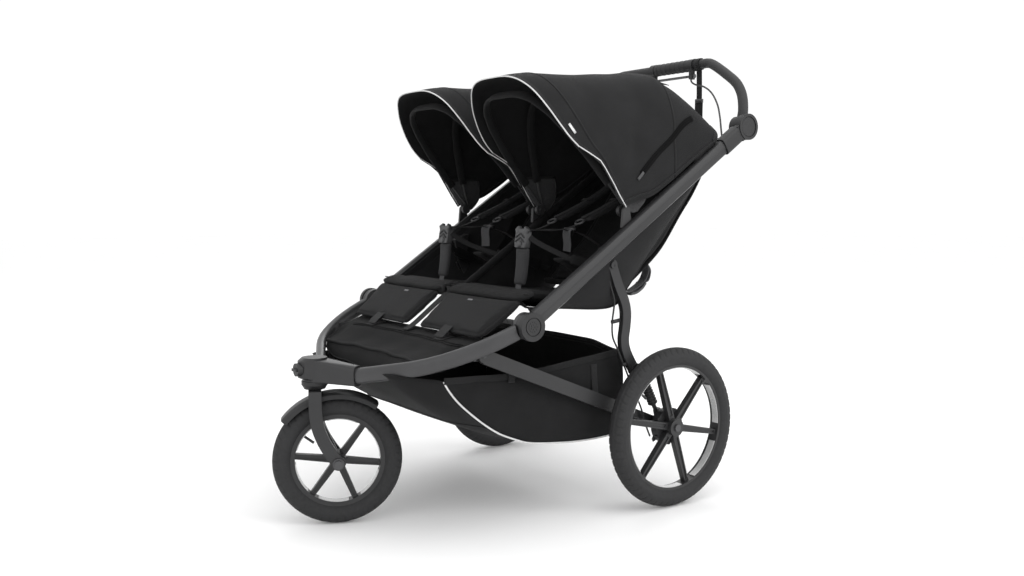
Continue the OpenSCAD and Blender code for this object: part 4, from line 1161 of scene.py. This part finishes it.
o = shell("basket_cloth", G, 2.0, M["basket_cloth"], bool(normals(G)[38, 25][2] > 0))
declare_sheet(G)
with_basket(o, "fabric", "basket")
for s, side in SIDES:
    j = 9 if s > 0 else 41
    with_basket(tube(f"basket_piping_{side}", G[:62, j] + A([s * 1.2, 0, -1.0]), 2.1, M["piping"], 8), "reflective")
    j = 0 if s > 0 else -1
    with_basket(strap(f"basket_rim_{side}", G[:, j] + A([0, 0, 0.5]), 15, 3.2, M["binding"], wide=(0, 0, 1)), "webbing")
    # webbing hangers up to the side tubes of the lower frame
    for y in (-430, -190):
        zt = 195.5 + (-y) * 213.5 / 520
        zr = np.interp(y, rim_pts[:, 0], rim_pts[:, 1])
        h = smooth([[s * 299, y, zr - 14], [s * 302, y, (zr + zt) / 2], [s * 307, y, zt + 6 if zt < zr else zt - 6], [s * 308, y, zt]], 4)
        with_basket(strap(f"basket_hanger_{side}_{-y}", h, 18, 2.0, M["webbing"], wide=(0, 1, 0)), "webbing")
with_basket(strap("basket_rear_rim", even(G[-1][9:42], 40) + A([0, 0.5, 0.5]), 16, 3.2, M["binding"], wide=(0, 0, 1)), "webbing")
with_basket(strap("basket_front_seam", G[16][9:42] + A([0, -0.6, -1.0]), 6, 1.6, M["fabric"], wide=(0, 0.8, -0.6)), "fabric")

# ------------------------------------------------------------------ recline straps
for s, side in SIDES:
    p = smooth([[s * 253, -80, 529], [s * 253, -62, 521], [s * 253, -34, 524], [s * 253, 4, 546], [s * 253, 18, 576], [s * 253, 9, 592]], 6)
    o = strap(f"recline_strap_{side}", p, 25, 2.6, M["grey_webbing"], wide=(1, 0, 0))
    put(o, None, "grey_webbing", *(["recline_straps"] if s > 0 else []))
    RB = dict(start=Vector(world([253, -62, 521])), end=Vector(world([253, 8, 566])))
    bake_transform(o)
    q = smooth([[s * 253, -44, 516], [s * 253, -26, 519], [s * 253, -6, 530], [s * 253, 2, 540]], 4)
    put(sweep(f"recline_buckle_{side}", q, section(16.5, 3.6, 20, 6), M["buckle"], wide=(1, 0, 0)), "upper_frame", "buckle")
    for t, yy, zz in ((0, -44, 516), (1, 2, 540)):
        put(tube(f"recline_bar_{side}_{t}", A([[s * x, yy, zz] for x in np.linspace(236, 270, 6)]), 2.8, M["buckle"], 12), "upper_frame", "buckle")
    ring = smooth([[s * 253, 10, 590], [s * 253, 22, 572], [s * 253, 16, 548], [s * 253, 2, 542]], 4)
    o = put(strap(f"recline_tail_{side}", ring + A([0, 2.5, 0]), 23, 1.8, M["grey_webbing"], wide=(1, 0, 0)), None, "grey_webbing")
    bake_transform(o)

# ------------------------------------------------------------------ wrist strap
by, bz = 312.0, 1119.0
ring = A([[140, by + 15.2 * math.sin(a), bz - 15.2 * math.cos(a)] for a in np.linspace(0, 2 * math.pi, 40, endpoint=False)])
o = sweep("wrist_loop", ring, section(9.0, 1.1, 12, 6), M["webbing"], wide=(1, 0, 0), closed=True)
put(o, "wrist_strap", "webbing", "wrist_strap")
bl = smooth([[140, by, bz - 16], [140, by + 1, bz - 50], [141, by + 0.5, bz - 90], [140.5, by - 0.8, bz - 130], [140, by, bz - 164]], 8)
put(strap("wrist_web", bl, 18, 2.0, M["webbing"], wide=(1, 0.12, 0)), "wrist_strap", "webbing")
put(strap("wrist_handle", smooth([[140, by + 0.5, bz - 104], [140.5, by - 0.4, bz - 130], [140, by, bz - 164]], 8), 25, 5.0, M["strap_pad"], wide=(1, 0.12, 0)), "wrist_strap", "webbing")
put(sweep("wrist_slider", A([[140.6, by + 0.6, bz - 94], [140.6, by + 0.5, bz - 98], [140.6, by + 0.5, bz - 104]]), section(12.5, 4.4, 18, 5), M["buckle"], wide=(1, 0.12, 0)), "wrist_strap", "buckle")

# ------------------------------------------------------------------ handlebar sleeve seam
put(sweep("bar_seam", A([[x, by - 2.0, bz - 13.2] for x in np.linspace(-166, -48, 30)]), section(1.4, 0.7, 8), M["binding"], wide=(0, 1, 0)), "handlebar", "grip")

# ------------------------------------------------------------------ buckles
for s, side in SIDES:
    V2 = [(-20, 646), (20, 646), (23, 660), (21, 684), (12, 692), (-12, 692), (-21, 684), (-23, 660)]
    n2 = len(V2)
    V = [[s * 176 + x, -322 + (z - 640) * 0.14, z - 11.5] for x, z in V2] + [[s * 176 + x, -304 + (z - 640) * 0.14, z - 11.5] for x, z in V2]
    F = [tuple(range(n2)), tuple(range(2 * n2 - 1, n2 - 1, -1))] + [((i + 1) % n2, i, i + n2, (i + 1) % n2 + n2) for i in range(n2)]
    o = soften(make(f"buckle_body_{side}", world(V), F, M["buckle"]), 2.5, 3)
    put(o, "upper_frame", "buckle", *(["buckles"] if s > 0 else []))
    for k, z in enumerate((668, 678)):
        ch = A([[s * 176 - 17, -318.5, z - 7], [s * 176, -318.2, z + 3], [s * 176 + 17, -318.5, z - 7]])
        ch[:, 1] = -323.4 + (ch[:, 2] - 640) * 0.14
        ch[:, 2] -= 11.5
        put(strap(f"buckle_chevron_{side}_{k}", ch, 2.6, 2.2, M["moulding"], wide=(0, 0, 1)), "upper_frame", "buckle")
    disc = A([[s * 176, -323.5 + 0.14 * 14, 643.5], [s * 176, -321 + 0.14 * 14, 643.5]])
    put(sweep(f"buckle_button_{side}", disc, section(8.5, 8.5, 28), M["buckle"], wide=(1, 0, 0)), "upper_frame", "buckle")
    for t in (-1, 1):
        pr = smooth([[s * 176 + t * 13, -311, 670], [s * 176 + t * 16, -310, 677], [s * 176 + t * 19, -309, 681]], 4)
        put(sweep(f"buckle_prong_{side}_{t + 1}", pr, section(8.5, 5.5, 16, 4), M["buckle"], wide=(1, 0, -0.3 * t * s)), "upper_frame", "buckle")

# ------------------------------------------------------------------ brake cables
ca = smooth([[121, 302, 1093], [121, 300, 1082], [127, 297, 1071], [146, 294, 1062], [180, 291, 1053], [226, 272, 1031], [272, 245, 997], [306, 219, 961], [328, 200, 932], [341, 190, 908]], 6)
o = tube("cable_upper", ca, 2.4, M["cable"], 12)
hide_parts("brake_cable_upper")
Vector(world([127, 297, 1071]))
Vector(world([341, 190, 908]))
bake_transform(o)
first = True
for s, side in SIDES:
    cb = smooth([[s * 334, y, z] for y, z in [(-178, 570), (-166, 540), (-157, 508), (-163, 461), (-161, 425), (-146, 396), (-126, 356), (-107, 318), (-88, 282), (-68, 243), (-54, 204), (-38, 170)]], 6)
    o = tube(f"cable_lower_{side}", cb, 2.2, M["cable"], 10)
    put(o, "rear_legs", "cable", *(["brake_cable_lower"] if first else []))
    first = False
    for y, z in ((-162, 461), (-126, 356)):
        put(sweep(f"cable_clip_{side}_{-y}", A([[s * 334, y - 3, z], [s * 334, y + 8, z + 1], [s * 334, y + 22, z + 3]]), section(4.5, 3.4, 12, 4), M["moulding"], wide=(0, 0, 1)), "rear_legs", "moulding")

# ------------------------------------------------------------------ stage, light, camera
fl = Mat("floor", rough=0.7, spec=0.2)
fl.color(fl.noise(3, 2), [(0.3, g(0.945, 1.0)), (0.7, g(0.965, 1.0))])
bpy.ops.mesh.primitive_plane_add(size=40, location=(0, 0, -0.0004))
floor = bpy.context.object
floor.name = "floor"
floor.data.materials.append(fl.m)
w = bpy.data.worlds.new("studio")
S.world = w
w.use_nodes = True
w.node_tree.nodes["Background"].inputs[0].default_value = (1, 1, 1, 1)
w.node_tree.nodes["Background"].inputs[1].default_value = 1.05


def area(name, loc, size, energy, target=(0, 0, 0.5)):
    l_ = bpy.data.lights.new(name, "AREA")
    l_.shape = "RECTANGLE"
    l_.size, l_.size_y = size
    l_.energy = energy
    o = bpy.data.objects.new(name, l_)
    o.location = loc
    o.rotation_euler = (Vector(target) - Vector(loc)).to_track_quat("-Z", "Y").to_euler()
    S.collection.objects.link(o)
    return o


area("top", (0.3, 0.2, 3.4), (3.2, 3.2), 30)
area("key", (3.2, 1.4, 2.3), (2.0, 2.4), 40)
area("fill", (1.2, -3.4, 1.6), (2.6, 1.8), 8)
area("rim_light", (-2.6, 2.0, 2.2), (2.0, 2.0), 15)
cam = bpy.data.cameras.new("camera")
cam.lens = 35.20
cam.sensor_width = 36
co = bpy.data.objects.new("camera", cam)
co.location = (2.11752, -1.71312 + Y0, 0.74362)
co.rotation_euler = (math.radians(85.09), 0, math.radians(54.76))
S.collection.objects.link(co)
S.camera = co
